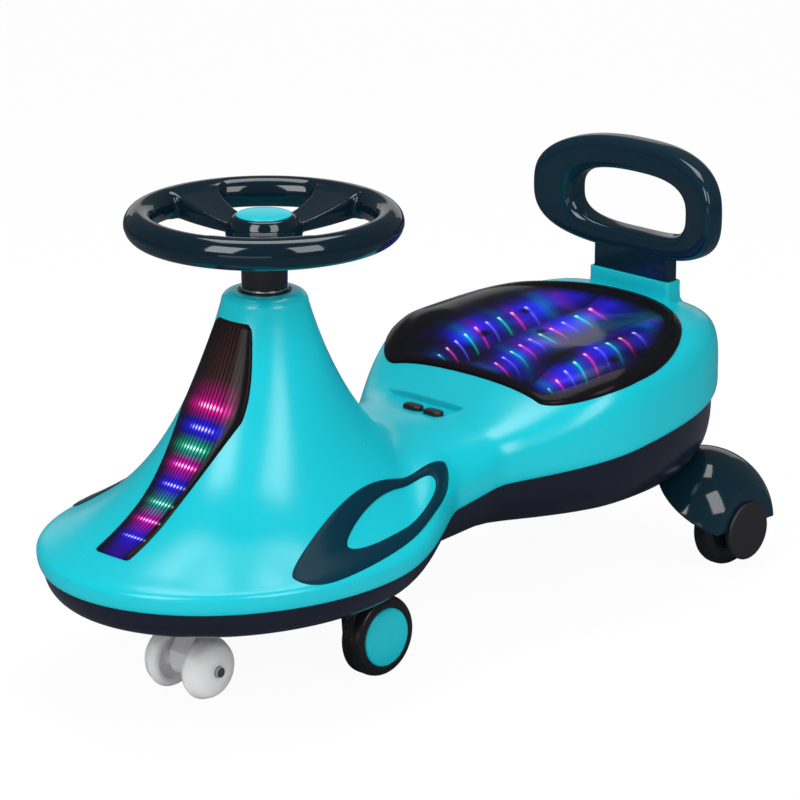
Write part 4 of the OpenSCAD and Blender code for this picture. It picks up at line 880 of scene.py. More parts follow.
lamp_tint = ramp(lamp_no.math("FLOORED_MODULO", LAMP_HUES) / LAMP_HUES,
                 [(0.0, (0.0, 0.75, 0.42)), (0.3, (0.9, 0.05, 0.32)), (0.6, (0.16, 0.13, 1.0))], "CONSTANT")
streak = tint("MULTIPLY", lamp_tint, trail * lit)
head = line ** 1.3 * 0.75 * (lit * ramp(behind_head, [(0.235, 0), (0.255, 1), (0.31, 0)]))
print("seat lamps in", len(ROW_AT), "rows")

# %% Seat glow between the lamps
haze = ramp(lamp_at.math("FLOORED_MODULO", LAMP_HUES) / LAMP_HUES, [
    (0.0, (0.01, 0.03, 0.9)), (0.17, (0.0, 0.16, 0.66)), (0.34, (0.03, 0.04, 0.75)),
    (0.5, (0.13, 0.01, 0.6)), (0.67, (0.03, 0.01, 0.85)), (1.0, (0.01, 0.03, 0.9))])
near_front = ramp((long_at + 3.0) * 0.5, [(0.5, 0), (0.75, 1)])
inside = ramp(rim_at, [(0.74, 1), (0.87, 0)])
inside_front = near_front * ramp(rim_at, [(0.85, 1), (0.94, 0)])
clear = inside.math("MAXIMUM", inside_front) * ramp(wide_at + 1.0, [(0.0, 0), (0.24, 1)])
seat_place = new_node(seat_glow.node_tree, "ShaderNodeTexCoord").outputs["Object"]
patches = new_node(seat_glow.node_tree, "ShaderNodeTexNoise", Vector=seat_place, Scale=19.0, Detail=1.0)
cloudy = ramp(Flow(seat_glow.node_tree, patches.outputs[0]), [(0.34, 0.12), (0.48, 0.55), (0.6, 1)])
spill = ramp(behind_head, [(0.0, 0.08), (0.14, 0.5), (0.25, 1), (0.4, 0.9), (0.58, 0.3), (0.75, 0.1),
                           (1.0, 0.1)])
lights = tint("ADD", tint("ADD", tint("MULTIPLY", haze, cloudy * spill), streak), head)
shown = clear
for peg_long, peg_wide in PEGS:
    far = (long_at - peg_long) ** 2.0 + (wide_at - peg_wide) ** 2.0
    shown = shown * far.math("MULTIPLY", PEG_TIGHT, clamp=True)
feed(seat_glow.node_tree, tint("MULTIPLY", lights, shown), surface_of(seat_glow)["Emission Color"])
print("seat glow nodes", len(seat_glow.node_tree.nodes))

# %% Seat cover
COVER_HALF, COVER_MID = 0.4776 * SEAT_W, np.array([-0.27 * BODY_LEN, 0.0])
COVER_BACK, COVER_POWER, COVER_WIDEST = -0.4035, 2.15, -0.2125
FRONT_HALF, FRONT_X, FRONT_BOW = 0.62, -0.1235, 0.008


def cover_front(f):
    return np.stack([(FRONT_X + FRONT_BOW * f * f) * BODY_LEN, COVER_HALF * FRONT_HALF * f], -1)


def cover_corner(f):
    """A curve from the front edge round to the widest place."""
    f = f[:, None]
    a, b, c, d = (np.array([x * BODY_LEN, y * COVER_HALF]) for x, y in (
        (FRONT_X + FRONT_BOW, FRONT_HALF), (-0.1131, 0.725), (-0.1525, 1.0), (COVER_WIDEST, 1.0)))
    return a * (1 - f) ** 3 + 3 * b * f * (1 - f) ** 2 + 3 * c * f * f * (1 - f) + d * f ** 3


def cover_rear(f):
    s = np.sin(np.pi / 2 * f)
    return np.stack([mix(COVER_WIDEST, COVER_BACK, s) * BODY_LEN,
                     COVER_HALF * np.maximum(0, 1 - s ** COVER_POWER) ** (1 / COVER_POWER)], -1)


side = np.concatenate([cover_front(np.linspace(0, 1, 30, endpoint=False)),
                       cover_corner(np.linspace(0, 1, 30, endpoint=False)),
                       cover_rear(np.linspace(0, 1, 60))])
cover_loop = np.concatenate([side, side[-2:0:-1] * np.array([1, -1])])
RIM_SHARE = [0, 0.86, 0.885, 0.91, 0.95, 0.98, 0.994, 1.0]
RIM_LIFT = [0.8, 0.8, 1.1, 1.9, 2.5, 2.4, 1.6, 0.3]
shares = np.concatenate([np.linspace(0.04, 0.80, 30), np.linspace(0.82, 1.0, 19)])
seat_rows = [(s, np.interp(s, RIM_SHARE, RIM_LIFT)) for s in shares] + [(1.0, SINK)]
seat_loops, seat_map, seat_rim = [], [], []
for share, lift in seat_rows:
    loop = COVER_MID + (cover_loop - COVER_MID) * share
    seat_loops.append(skin_points(loop[:, 0], loop[:, 1], lift))
    seat_map.append(loop / MAP_MM)
    seat_rim += [(share, 0.0)] * len(loop)
seat = loops_piece("seat_panel", seat_loops, seat_glow, cap_first=True, hard=60.0,
                   uv=np.concatenate(seat_map), tidy=False)
rim_layer = seat.data.uv_layers.new(name="rim")
for corner in seat.data.loops:
    rim_layer.data[corner.index].uv = seat_rim[corner.vertex_index]
settle(seat, "body", "smoked", "seat_cover", "seat_light_board")
print("seat cover", len(seat.data.polygons))

# %% [markdown]
# Leaf trims
#
# A dark leaf with a leaf-shaped opening lies on each side of the front lobe. Both outlines are bent
# between the same kind of tips, and the ring between them is crowned, with soft edges. A bevelled curve
# would not follow the body, so the points are lifted off the skin by its own rule.

# %% Leaf trims
def leaf(front, rear, bulges, ends, count=90):
    """An outline between two tips, bulged to both sides. Ends set how blunt the two tips are."""
    tip = np.array([front[0] * BODY_LEN, front[1] * FRONT_W])
    along = np.array([rear[0] * BODY_LEN, rear[1] * FRONT_W]) - tip
    f = np.arange(2 * count) / (2 * count)
    s = (1 - np.cos(np.pi * np.where(f < 0.5, 2 * f, 2 - 2 * f))) / 2
    full = ends[0] / (ends[0] + ends[1])
    bulge = (s / full) ** ends[0] * ((1 - s) / (1 - full)) ** ends[1]
    bulge = bulge * np.where(f < 0.5, bulges[0], bulges[1])
    return tip + along * s[:, None] + np.array([-along[1], along[0]]) * bulge[:, None]


leaf_out = leaf((0.346, 0.4232), (0.0369, 0.2616), (-0.1446, 0.0545), (0.445, 0.616))
leaf_in = leaf((0.2579, 0.412), (0.0726, 0.2971), (-0.1054, 0.0776), (0.545, 0.466))
TRIM_T = 0.8 * COVER_T
trim_rows = [(0.0, SINK), (0.0, 0.5), (0.02, 1.0), (0.06, 1.5), (0.2, TRIM_T * 0.92), (0.45, TRIM_T),
             (0.75, TRIM_T * 0.85), (0.92, 1.5), (0.975, 1.0), (1.0, 0.5), (1.0, SINK)]
for name, hand in (("left_trim", 1), ("right_trim", -1)):
    loops = []
    for share, lift in trim_rows:
        flat = mix(leaf_in, leaf_out, share)
        loops.append(skin_points(flat[:, 0], flat[:, 1] * hand, lift))
    trim = loops_piece(name + "_leaf", loops, trim_petrol, joined=True, hard=50.0)
    settle(trim, "body", "petrol", name)
print("trims made")

# %% [markdown]
# Buttons
#
# Two oval push buttons stand on the shelf in front of the seat, and each slides down with its own
# joint. A bevelled box would be too square, so each button is a stack of ovals that draw in at the top.

# %% Buttons
BUTTON_L, BUTTON_W = 22.0, 12.8
# Rows of the rounded top: how far each is set in, and how far it lies below the top.
BUTTON_ROWS = [(0.0, 2.6), (0.4, 1.5), (1.4, 0.7), (3.2, 0.3), (8.0, 0.0)]


def node_mm(name):
    """The low and the high corner of a solid's box, in millimetres."""
    return [np.array(c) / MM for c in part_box(name)]


def oval(inset, z, centre, count=72):
    """A level loop with two straight sides and round ends, set in from the button's edge."""
    angle = np.linspace(0, 2 * np.pi, count, endpoint=False)
    end_r, straight = (BUTTON_W - inset) / 2, (BUTTON_L - BUTTON_W) / 2
    return np.stack([centre[0] + end_r * np.cos(angle),
                     centre[1] + end_r * np.sin(angle) + straight * np.sign(np.sin(angle)),
                     np.full(count, float(z))], -1)


for name in ("light_button", "music_button"):
    low, high = node_mm(name)
    centre = (low + high) / 2
    loops = [oval(0.0, low[2], centre)] + [oval(inset, high[2] - drop, centre) for inset, drop in BUTTON_ROWS]
    piece = loops_piece(name + "_cap", loops, button_black, cap_first=True, cap_last=True, hard=50.0)
    settle(piece, name, "black", name)
print("buttons made")

# %% [markdown]
# Backrest
#
# A fat oval ring with a hand hole stands on a flat post in a socket behind the seat. The ring's
# section is a rounded box that follows two ovals, so it is a grid round and round. The socket is a
# short rounded tube of the same plastic as the body.

# %% Backrest ring
def rounded_oval(angle, width, height, power):
    """Points of an oval that grows squarer with its power."""
    c, s = np.cos(angle), np.sin(angle)
    return np.stack([width / 2 * np.sign(c) * np.abs(c) ** (2 / power),
                     height / 2 * np.sign(s) * np.abs(s) ** (2 / power)], -1)


REST_W, REST_H, REST_T, SOCKET_X = 229.0, 114.0, 28.5, -0.4085 * BODY_LEN - 10.5
SOCKET_Z = SEAT_Z + 0.12 * SEAT_H + 0.05 * SEAT_H
REST_Z = SOCKET_Z + 0.172 * REST_H + REST_H / 2
around = np.linspace(0, 2 * np.pi, 240, endpoint=False)
ring_out = rounded_oval(around, REST_W, REST_H, 2.7)
ring_in = rounded_oval(around, REST_W * 0.624, REST_H * 0.515, 2.92) - np.array([0, 0.041 * REST_H])
ring_loops = []
for section in rounded_oval(np.linspace(0, 2 * np.pi, 72, endpoint=False), 1.0, 1.0, 3.5):
    flat = mix(ring_in, ring_out, 0.5 + section[0])
    bend = 0.0974 * REST_W * (2 * flat[:, 0] / REST_W) ** 2
    ring_loops.append(np.stack([SOCKET_X - 0.23 * REST_T + bend + REST_T * section[1],
                                flat[:, 0], REST_Z + flat[:, 1]], -1))
ring = loops_piece("backrest_ring", ring_loops, petrol, joined=True, hard=60.0)
settle(ring, "body", "petrol", "backrest")
print("backrest top", round(float(REST_Z + REST_H / 2), 1), "mm")

# %% Backrest post and socket
def block_loop(thick, wide, corner, z, count=12):
    """A level rectangle with round corners about the socket's middle."""
    loop = []
    for k, (sx, sy) in enumerate(((1, 1), (-1, 1), (-1, -1), (1, -1))):
        for t in np.linspace(0, np.pi / 2, count):
            a = k * np.pi / 2 + t
            loop.append((SOCKET_X + sx * (thick / 2 - corner) + corner * math.cos(a),
                         sy * (wide / 2 - corner) + corner * math.sin(a), z))
    return np.array(loop)


POST_T, POST_W, POST_CORNER = 15.0, 96.0, 3.0
POST_SUNK, POST_BARE, POST_IN_RING = 24, 10, 14
post_z = (SOCKET_Z - POST_SUNK, SOCKET_Z + POST_BARE, REST_Z - REST_H / 2 + POST_IN_RING)
post_loops = [block_loop(POST_T, POST_W, POST_CORNER, z) for z in post_z]
post = loops_piece("backrest_post", post_loops, petrol, cap_first=True, cap_last=True, hard=50.0)
settle(post, "body", "petrol")
# Rows of the socket: its wall round the post, its corner and its height from the top.
SOCKET_ROWS = [(9, 9, -26), (6.5, 8, -22), (4.5, 7, -18.5), (3.5, 5, -15), (3, 4, -10), (3, 4, -1.2),
               (2.6, 3.8, -0.3), (2, 3.4, 0), (0.8, 3.0, 0), (0.4, 3.0, -0.6), (0.3, 3.0, -18)]
socket_loops = [block_loop(POST_T + 2 * wall, POST_W + 2 * wall, corner, SOCKET_Z + z)
                for wall, corner, z in SOCKET_ROWS]
socket = loops_piece("backrest_socket", socket_loops, teal, hard=50.0)
settle(socket, "body", "teal")
print("socket rows", len(SOCKET_ROWS))

# %% [markdown]
# Steering wheel
#
# Two halves clamp round the shaft: a fat rim, three broad spokes that flare into it and a hub like a
# bell. All of them meet in soft hollows. That is hard to draw face by face but easy with distances:
# each form is a distance in space, soft minima join the forms, and a net of quads is laid where the
# distance is nil. Each point of the net is then pulled on to the exact surface.

# %% Net over a field of distances
def net_over(field, corner, step):
    """Quads over the zero surface of a grid of distances, one point in each cell that it crosses."""
    cells = tuple(n - 1 for n in field.shape)
    total, hits = np.zeros(cells + (3,)), np.zeros(cells)
    for axis in range(3):
        for u, v in ((0, 0), (0, 1), (1, 0), (1, 1)):
            start = [u, v]
            start.insert(axis, 0)
            end = [k + (i == axis) for i, k in enumerate(start)]
            a, b = (field[tuple(slice(o, o + n) for o, n in zip(at, cells))] for at in (start, end))
            crossed = (a < 0) != (b < 0)
            share = np.where(crossed, a / np.where(crossed, a - b, 1), 0)
            for k in range(3):
                total[..., k] += np.where(crossed, start[k] + (share if k == axis else 0), 0)
            hits += crossed
    used = hits > 0
    ids = np.full(cells, -1)
    ids[used] = np.arange(used.sum())
    faces = []
    for axis in range(3):
        u, v = [k for k in range(3) if k != axis]
        changed = np.argwhere(np.diff(field < 0, axis=axis))
        keep = np.all([(changed[:, k] > 0) & (changed[:, k] < cells[k]) for k in (u, v)], axis=0)
        quad = []
        for du, dv in ((1, 1), (0, 1), (0, 0), (1, 0)):
            cell = changed[keep].copy()
            cell[:, u] -= du
            cell[:, v] -= dv
            quad.append(ids[tuple(cell.T)])
        faces += [tuple(int(k) for k in q) for q in np.stack(quad, -1)]
    points = np.argwhere(used) + total[used] / hits[used][:, None]
    return np.asarray(corner) + points * step, faces


def pulled(points, field):
    """Points moved along the slope of a field on to its zero surface."""
    near, least_slope = 0.1, 0.2
    for _ in range(3):
        away = field(points)
        slope = np.stack([(field(points + e) - field(points - e)) / (2 * near) for e in np.eye(3) * near], -1)
        points = points - slope * (away / np.maximum((slope ** 2).sum(-1), least_slope))[:, None]
    return points


print("a net needs a field, its corner and its step")

# %% Steering wheel as a field
RIM_R, RIM_T, RIM_STRETCH, HUB_R = 111.5, 27.0, 0.94, 35.0
SPOKES = [(math.radians(44 + turn), math.radians(swing), wide) for turn, swing, wide in (
    (0, 0, 1.2), (127.3, 15, 0.78), (232.7, -15, 0.78))]
SPOKE_NECK, SPOKE_FLARE, DISH_LOW, DISH_HIGH = 0.45, 1.6, -2.5, 11.0
HUB_TOP, HUB_FOOT, BELL_R, BELL_H, BELL_POWER = 7.0, -13.0, 27.0, 16.0, 0.7
PLATE_FOOT, PLATE_IN, FAR_OFF, HALF_STEP, STEP_H = -12.0, 6.0, 80.0, 0.35, 0.8
SOFT_RIM, SOFT_HUB, SOFT_TOP, SOFT_EDGE, SOFT_BELL = 6.5, 2.0, 3.0, 2.0, 2.5
# On a slanting side the plain distance is too long, and these shares shorten it.
SIDE_SLANT, TOP_SLANT, BELL_SLANT = 0.8, 0.97, 0.85
split = node_mm("steering_wheel_bottom")[1][2]
RIM_Z = node_mm("steering_wheel_top")[1][2] - RIM_T / 2


def soft_min(a, b, k):
    return -soft_max(-a, -b, k)


def wheel_field(p):
    """Distance to the wheel, in millimetres, negative inside."""
    x, y, z = p[..., 0] - COLUMN_X, p[..., 1], p[..., 2] - RIM_Z
    r = np.hypot(x, y)
    rim = np.hypot(r - RIM_R, z * RIM_STRETCH) - RIM_T / 2
    side = np.full_like(r, FAR_OFF)
    out = np.clip((r - HUB_R) / (RIM_R - HUB_R), 0, 1.1)
    for turn, swing, wide in SPOKES:
        heading = turn + swing * out
        along = x * np.cos(heading) + y * np.sin(heading)
        across = np.abs(y * np.cos(heading) - x * np.sin(heading))
        half = HUB_R * mix(SPOKE_NECK, wide, out ** SPOKE_FLARE)
        side = np.minimum(side, np.where(along > 0, SIDE_SLANT * (across - half), FAR_OFF))
    top = mix(DISH_LOW, DISH_HIGH, np.clip((r - HUB_R) / (RIM_R - PLATE_IN - HUB_R), 0, 1))
    plate = soft_max(soft_max(side, TOP_SLANT * (z - top), SOFT_TOP),
                     soft_max(PLATE_FOOT - z, r - RIM_R + PLATE_IN, SOFT_EDGE), SOFT_EDGE)
    bell = mix(BELL_R, HUB_R, np.clip((HUB_TOP - z) / BELL_H, 0, 1) ** BELL_POWER)
    hub = soft_max(BELL_SLANT * (r - bell), np.maximum(z - HUB_TOP, HUB_FOOT - z), SOFT_BELL)
    whole = soft_min(soft_min(rim, plate, SOFT_RIM), hub, SOFT_HUB)
    return whole + HALF_STEP * ease((split - p[..., 2]) / STEP_H + 0.5)


print("rim middle", round(RIM_Z, 1), "mm, halves meet at", round(split, 1), "mm")

# %% Steering wheel
def parted(name, height, half_gap=0.0004, deep=0.0006):
    """A deep petrol finish with a fine groove at the height where the halves meet, all in metres."""
    material = plastic(name, (0.002, 0.011, 0.019), 0.07, 0.10)
    tree = material.node_tree
    place = new_node(tree, "ShaderNodeTexCoord").outputs["Object"]
    place_z = new_node(tree, "ShaderNodeSeparateXYZ", Vector=place).outputs["Z"]
    in_gap = abs(Flow(tree, place_z) - height).math("LESS_THAN", half_gap)
    groove = new_node(tree, "ShaderNodeBump", Strength=0.8, Distance=deep, Height=in_gap.left_of_one(),
                      Normal=tree.nodes["Bump"].outputs[0])
    feed(tree, groove.outputs[0], surface_of(material)["Normal"])
    return material


STEP, GRID_R, GRID_H = 1.6, 128, 17
axes = [np.arange(middle - half, middle + half, STEP)
        for middle, half in ((COLUMN_X, GRID_R), (0, GRID_R), (RIM_Z, GRID_H))]
grid = np.stack(np.meshgrid(*axes, indexing="ij"), -1)
net_points, net_faces = net_over(wheel_field(grid), [a[0] for a in axes], STEP)
wheel = make_piece("steering_wheel_body", pulled(net_points, wheel_field), net_faces,
                   parted("petrol_parted", split * MM), 75.0)
settle(wheel, "steering", "petrol", "steering_wheel_top", "steering_wheel_bottom")
print("steering wheel faces", len(wheel.data.polygons))

# %% [markdown]
# Cap, collar, washer
#
# The teal cap, the black collar and the bright washer are turned shapes on the steering axis. A Screw
# modifier could spin a curve, but here each profile has its corners rounded first and is spun at once.

# %% Turned pieces on the column
AXIS_AT, HOLLOW = (COLUMN_X, 0.0, 0.0), 0.01
low, high = node_mm("steering_cap")
r, cap_z = (high[0] - low[0]) / 2, RIM_Z + HUB_TOP
cap_profile = rounded([(HOLLOW, cap_z - 2), (r, cap_z - 2, 0.3), (r, cap_z + 0.9, 1.0),
                       (r * 0.6, cap_z + 1.9, 8.0), (HOLLOW, cap_z + 2.2)], 1.0, 7)
cap = turned("steering_cap_dome", cap_profile, AXIS_AT, "Z", teal, hard=45.0)
settle(cap, "steering", "teal", "steering_cap")
low, high = node_mm("neck_collar")
foot, top = low[2], high[2]
collar_profile = rounded([(11.0, foot), (20.6, foot, 0.6), (21.2, top - 10.5, 1.5), (23.4, top - 9.0, 0.6),
                          (23.4, top - 7.0, 0.6), (21.4, top - 6.0, 0.6), (21.4, top), (11.0, top)], 0.6)
collar = turned("neck_collar_sleeve", collar_profile, AXIS_AT, "Z", button_black, joined=True, hard=45.0)
settle(collar, "steering", "black", "neck_collar")
low, high = node_mm("thrust_washer")
washer_profile = rounded([(10.2, low[2]), (21.6, low[2], 0.5), (21.6, high[2], 0.5), (10.2, high[2])], 0.5)
washer = turned("thrust_washer_ring", washer_profile, AXIS_AT, "Z", steel, joined=True, hard=45.0)
settle(washer, "steering", "steel", "thrust_washer")
print("column pieces made")

# %% [markdown]
# Front wheels
#
# The small front wheels are milky, slightly clear plastic: domed outside, cupped inside, on a steel
# axle through the swing arm. A wheel is round, so one profile is enough, and light that scatters
# below the surface gives the milky look better than a see-through finish would.

# %% Front wheels
def wheel_frame(name):
    """Centre, inner face, radius and width of a solid that is round about its axle."""
    low, high = node_mm(name)
    return (low + high) / 2, min(abs(low[1]), abs(high[1])), (high[0] - low[0]) / 2, high[1] - low[1]


def on_axle(name, profile, centre, inner, sign, finish, body, slot, node, **more):
    """A profile of (radius, along) points turned about an axle, outwards from an inner face."""
    spun = [(radius, sign * (inner + along)) for radius, along in profile]
    piece = turned(name, spun, (centre[0], 0, centre[2]), "Y", finish, **more)
    settle(piece, body, slot, node)


HANDS = (("left", 1), ("right", -1))
for hand, sign in HANDS:
    name = hand + "_front_wheel"
    centre, inner, r, w = wheel_frame(name)
    profile = rounded([(4.2, 0.0), (8.1, 0.0, 1.0), (9.2, w * 0.3, 2.0), (r * 0.66, w * 0.3, 2.5),
                       (r * 0.72, 0.4, 1.0), (r * 0.9, 0.0, 4.0), (r, r * 0.2, 6.0), (r, w - r * 0.5, 8.0),
                       (r * 0.86, w - r * 0.16, 6.0), (r * 0.45, w, 6.0), (5.2, w, 0.5), (5.2, w - 3.2, 0.5),
                       (4.2, w - 3.2)], 1.0, 8)
    on_axle(name + "_roller", profile, centre, inner, sign, milky, name, "milky", name,
            joined=True, hard=50.0)
print("front wheels made")

# %% [markdown]
# Stabiliser wheels
#
# Each stabiliser is a black tyre with fine ribs in its tread, closed by a domed teal cap. The ribs
# could be cut out of a drum. As steps of the turned profile, added by a loop, they need no cutting.

# %% Stabiliser wheels
TYRE_R, TYRE_W, TYRE_OUT = 38.0, 25.0, 8.0
TREAD_RIBS, TREAD_FROM, TREAD_PITCH, RIB_DEEP = 5, 0.2, 0.075, 1.0
for hand, sign in HANDS:
    wheel_body = hand + "_side_wheel"
    centre, inner, _, _ = wheel_frame(hand + "_side_tyre")
    r, w, inner = TYRE_R, TYRE_W, inner + TYRE_OUT
    tread = []
    for k in range(TREAD_RIBS):
        a = w * (TREAD_FROM + TREAD_PITCH * k)
        tread += [(r - 0.1, a, 0.3), (r - RIB_DEEP, a + 0.5, 0.2), (r - RIB_DEEP, a + 0.9, 0.2),
                  (r - 0.1, a + w * 0.06, 0.3)]
    wall = [(r, w * 0.64, 1.5), (r * 0.985, w * 0.8, 4.0), (r * 0.92, w * 0.96, 4.0), (r * 0.78, w, 2.0),
            (r * 0.735, w * 0.985, 0.4), (r * 0.73, w * 0.94, 0.4), (11.0, w * 0.94, 0.4),
            (11.0, w - 9.0, 0.5), (4.1, w - 9.0)]
    profile = rounded([(4.1, 0.0), (r * 0.78, 0.0, 2.0), (r * 0.93, w * 0.08, 3.0)] + tread + wall, 1.0, 5)
    on_axle(hand + "_side_tread", profile, centre, inner, sign, tyre_black, wheel_body, "tyre",
            hand + "_side_tyre", joined=True, hard=40.0)
    r = wheel_frame(hand + "_side_cap")[2]
    profile = rounded([(HOLLOW, -3.0), (r, -3.0, 0.3), (r, 0.2, 1.2), (r * 0.9, 1.6, 3.0),
                       (r * 0.6, 2.9, 8.0), (HOLLOW, 3.5)], 1.0, 8)
    on_axle(hand + "_side_dome", profile, centre, inner + w, sign, teal, wheel_body, "teal",
            hand + "_side_cap", hard=45.0)
print("stabilisers made")

# %% [markdown]
# Rear hoods, wheels and discs
#
# Each rear wheel hides under a ball-shaped hood that grows out of the body. A ball cut by a Boolean
# would have a ragged edge, so the hood is drawn as arcs of the ball, side by side along the axle, that
# end at a slanting plane. The last arc sinks to the plane and closes the side, and Solidify gives the
# wall. A black disc closes the axle end.

# %% Rear hoods
REAR_X, REAR_Z, HOOD_GROW, HOOD_WALL = -0.417 * BODY_LEN, 39.0, 0.35, 3.0
HOOD_R, HOOD_Y, HOOD_OUT = 1.825 * REAR_Z + HOOD_GROW, 0.6 * SEAT_W / 2, 0.963 * SEAT_W / 2 + HOOD_GROW
HOOD_TILT, HOOD_LIFT, HOOD_COLS = math.radians(32), 0.475, 81
HOOD_INNER, HOOD_STEEP, HOOD_ARC = -33.4, 30, 2
hood_y = np.concatenate([np.linspace(HOOD_INNER, HOOD_STEEP, 36),
                         np.linspace(HOOD_STEEP + HOOD_ARC, HOOD_OUT - HOOD_Y, 24)])
span = np.linspace(-1, 1, HOOD_COLS)


def hood_row(y, sink=0.0):
    """One arc of the ball, cut by the slanting plane. Sink lowers it towards the cut."""
    ring = math.sqrt(HOOD_R ** 2 - y * y)
    cut = (HOOD_LIFT * HOOD_R - y * math.sin(HOOD_TILT)) / math.cos(HOOD_TILT)
    swing = math.acos(min(1.0, max(-1.0, cut / ring)))
    z = mix(ring * np.cos(span * swing), cut, sink)
    return np.stack([REAR_X + ring * np.sin(span * swing), np.full(HOOD_COLS, HOOD_Y + y), REAR_Z + z], -1)


hood_rows = [hood_row(y) for y in hood_y] + [hood_row(hood_y[-1], t) for t in (0.05, 0.3, 0.6, 0.9, 1.0)]


def refinish(name, finish):
    """Give a solid of the frame a finish of this scene."""
    nodes[name].data.materials.clear()
    nodes[name].data.materials.append(finish)


for hand, sign in HANDS:
    rows = np.concatenate(hood_rows) * np.array([1, sign, 1])
    hood_faces = grid_faces(len(hood_rows), HOOD_COLS)
    hood = make_piece(hand + "_hood_ball", rows, hood_faces, petrol, 35.0, tidy=False)
    wall = hood.modifiers.new("wall", "SOLIDIFY")
    wall.thickness, wall.offset = HOOD_WALL * MM, -sign
    settle(baked(hood), "body", "petrol")
    refinish(hand + "_hood", petrol)
print("hood rows", len(hood_rows))

# %% Rear discs and wheels
for hand, sign in HANDS:
    name = hand + "_rear_disc"
    centre, inner, r, w = wheel_frame(name)
    profile = rounded([(HOLLOW, 0.0), (r * 0.9, 0.0, 0.5), (r, w * 0.25, 1.0), (r, w * 0.75, 1.4),
                       (r * 0.94, w, 1.0), (r * 0.5, w * 0.985, 3.0), (HOLLOW, w * 0.985)], 1.0, 6)
    on_axle(hand + "_rear_cover", profile, centre, inner, sign, disc_black, "body", "black", name, hard=45.0)
    name = hand + "_rear_wheel"
    centre, inner, r, w = wheel_frame(name)
    profile = rounded([(4.4, 0.0), (r * 0.6, 0.0, 1.0), (r * 0.62, w * 0.06, 1.0), (r * 0.74, w * 0.06, 1.0),
                       (r * 0.78, 0.0, 2.0), (r * 0.92, w * 0.06, 3.0), (r, w * 0.3, 5.0), (r, w * 0.7, 5.0),
                       (r * 0.92, w * 0.94, 3.0), (r * 0.78, w, 2.0), (4.4, w)], 1.0, 6)
    on_axle(hand + "_rear_roller", profile, centre, inner, sign, tyre_black, name, "tyre", name,
            joined=True, hard=45.0)
print("rear wheels made")

# %% [markdown]
# Body screws
#
# Seven screws hold the two shells together from below. They are all alike, so one screw is built in
# Geometry Nodes, a flat head with a cross cut into it and a shank, and set on seven points. The tree
# ends in real mesh and a material, and the result becomes a plain mesh.

# %% Screw tree
HEAD_TAPER, CROSS_LONG, CROSS_THIN, SHANK_RAISED = 0.86, 1.25, 0.26, 0.55
SCREW_SIZES = {"Head radius": 5.4, "Head height": 2.4, "Shank radius": 2.1, "Shank length": 30.0}
screws = bpy.data.node_groups.new("screws_on_points", "GeometryNodeTree")
screws.interface.new_socket("Places", in_out="INPUT", socket_type="NodeSocketGeometry")
size_ids = {}
for label in SCREW_SIZES:
    socket = screws.interface.new_socket(label, in_out="INPUT", socket_type="NodeSocketFloat")
    size_ids[label] = socket.identifier
screws.interface.new_socket("Screws", in_out="OUTPUT", socket_type="NodeSocketGeometry")
size = screws.nodes.new("NodeGroupInput").outputs
head_r = Flow(screws, size["Head radius"])
head_disc = new_node(screws, "GeometryNodeMeshCone", Vertices=40, Radius_Bottom=head_r * HEAD_TAPER,
                     Radius_Top=head_r, Depth=size["Head height"])
cross = new_node(screws, "GeometryNodeMeshBoolean", Mesh_1=head_disc.outputs["Mesh"])
cross.operation, cross.solver = "DIFFERENCE", "EXACT"
for x_share, y_share in ((CROSS_LONG, CROSS_THIN), (CROSS_THIN, CROSS_LONG)):
    bar_size = new_node(screws, "ShaderNodeCombineXYZ", X=head_r * x_share, Y=head_r * y_share,
                        Z=size["Head height"])
    bar = new_node(screws, "GeometryNodeMeshCube", Size=bar_size.outputs[0])
    feed(screws, bar.outputs["Mesh"], cross.inputs["Mesh 2"])
shank = new_node(screws, "GeometryNodeMeshCylinder", Vertices=20, Radius=size["Shank radius"],
                 Depth=size["Shank length"])
shank_up = new_node(screws, "ShaderNodeCombineXYZ", Z=Flow(screws, size["Shank length"]) * SHANK_RAISED)
shank_set = new_node(screws, "GeometryNodeTransform", Geometry=shank.outputs["Mesh"],
                     Translation=shank_up.outputs[0])
whole_screw = new_node(screws, "GeometryNodeJoinGeometry", Geometry=shank_set.outputs[0])
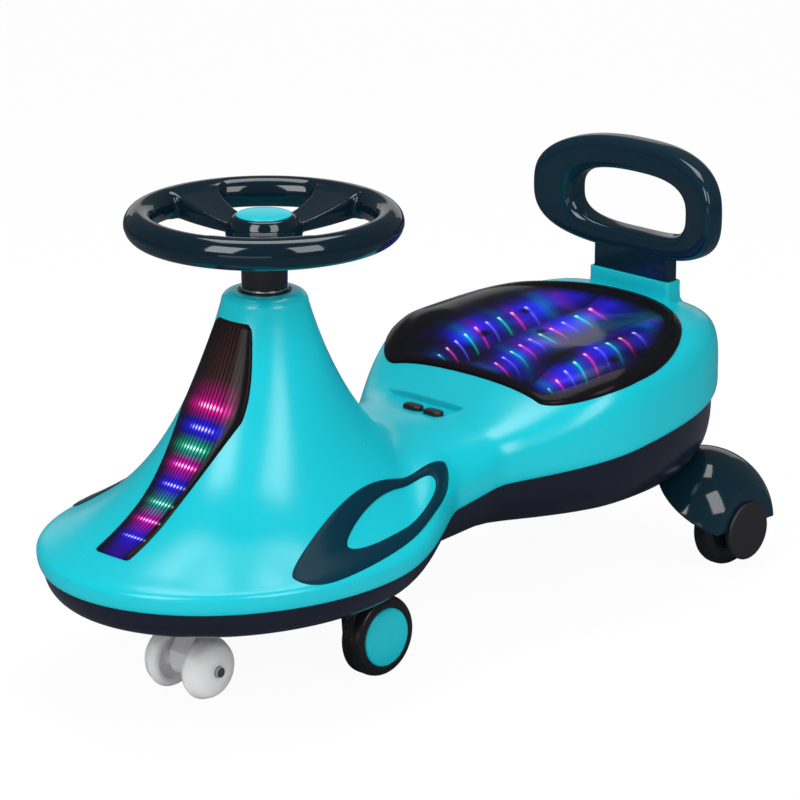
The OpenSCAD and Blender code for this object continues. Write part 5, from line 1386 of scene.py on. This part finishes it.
feed(screws, cross.outputs["Mesh"], whole_screw.inputs[0])
on_points = new_node(screws, "GeometryNodeInstanceOnPoints", Points=size["Places"],
                     Instance=whole_screw.outputs[0])
real = new_node(screws, "GeometryNodeRealizeInstances", Geometry=on_points.outputs[0])
finished = new_node(screws, "GeometryNodeSetMaterial", Geometry=real.outputs[0], Material=steel)
feed(screws, finished.outputs[0], screws.nodes.new("NodeGroupOutput").inputs[0])
print("screw tree", len(screws.nodes), "nodes")

# %% Body screws
TAIL_SCREW, SCREW_PAIRS = -0.42, ((0.36, 0.24), (0.11, 0.14), (-0.115, 0.14))
SCREW_Z = BOTTOM_Z - 0.6
screw_places = [(TAIL_SCREW * BODY_LEN, 0.0)]
screw_places += [(x * BODY_LEN, sign * y * FRONT_W) for x, y in SCREW_PAIRS for sign in (1, -1)]
screw_dots = bpy.data.meshes.new("body_screw_heads")
screw_dots.from_pydata([(x * MM, y * MM, SCREW_Z * MM) for x, y in screw_places], [], [])
screw_piece = bpy.data.objects.new("body_screw_heads", screw_dots)
bpy.context.collection.objects.link(screw_piece)
maker = screw_piece.modifiers.new("screws", "NODES")
maker.node_group = screws
for label, value in SCREW_SIZES.items():
    maker[size_ids[label]] = value * MM
settle(baked(screw_piece), "body", "steel", "body_screws")
print("screws", len(screw_places), "faces", len(screw_piece.data.polygons))

# %% [markdown]
# Solids that stay
#
# The swing arm, axles, legs, bushes and the parts inside are plain shapes, hardly seen. Their exact
# solids are smooth enough, so they stay and only get a finish.

# %% Finishes for the solids that stay
KEEP = {
    natural_white: ["swing_arm", "axle_sleeves"],
    steel: ["steering_shaft", "shaft_nut", "front_axle", "left_side_axle", "right_side_axle",
            "left_rear_axle", "right_rear_axle", "batteries"],
    leg_black: ["upper_bush", "lower_bush", "left_side_leg", "right_side_leg", "battery_box"],
    night_blue: ["battery_door"],
    board_green: ["button_board"],
}
for finish, names in KEEP.items():
    for name in names:
        refinish(name, finish)
print("kept solids", sum(len(v) for v in KEEP.values()))
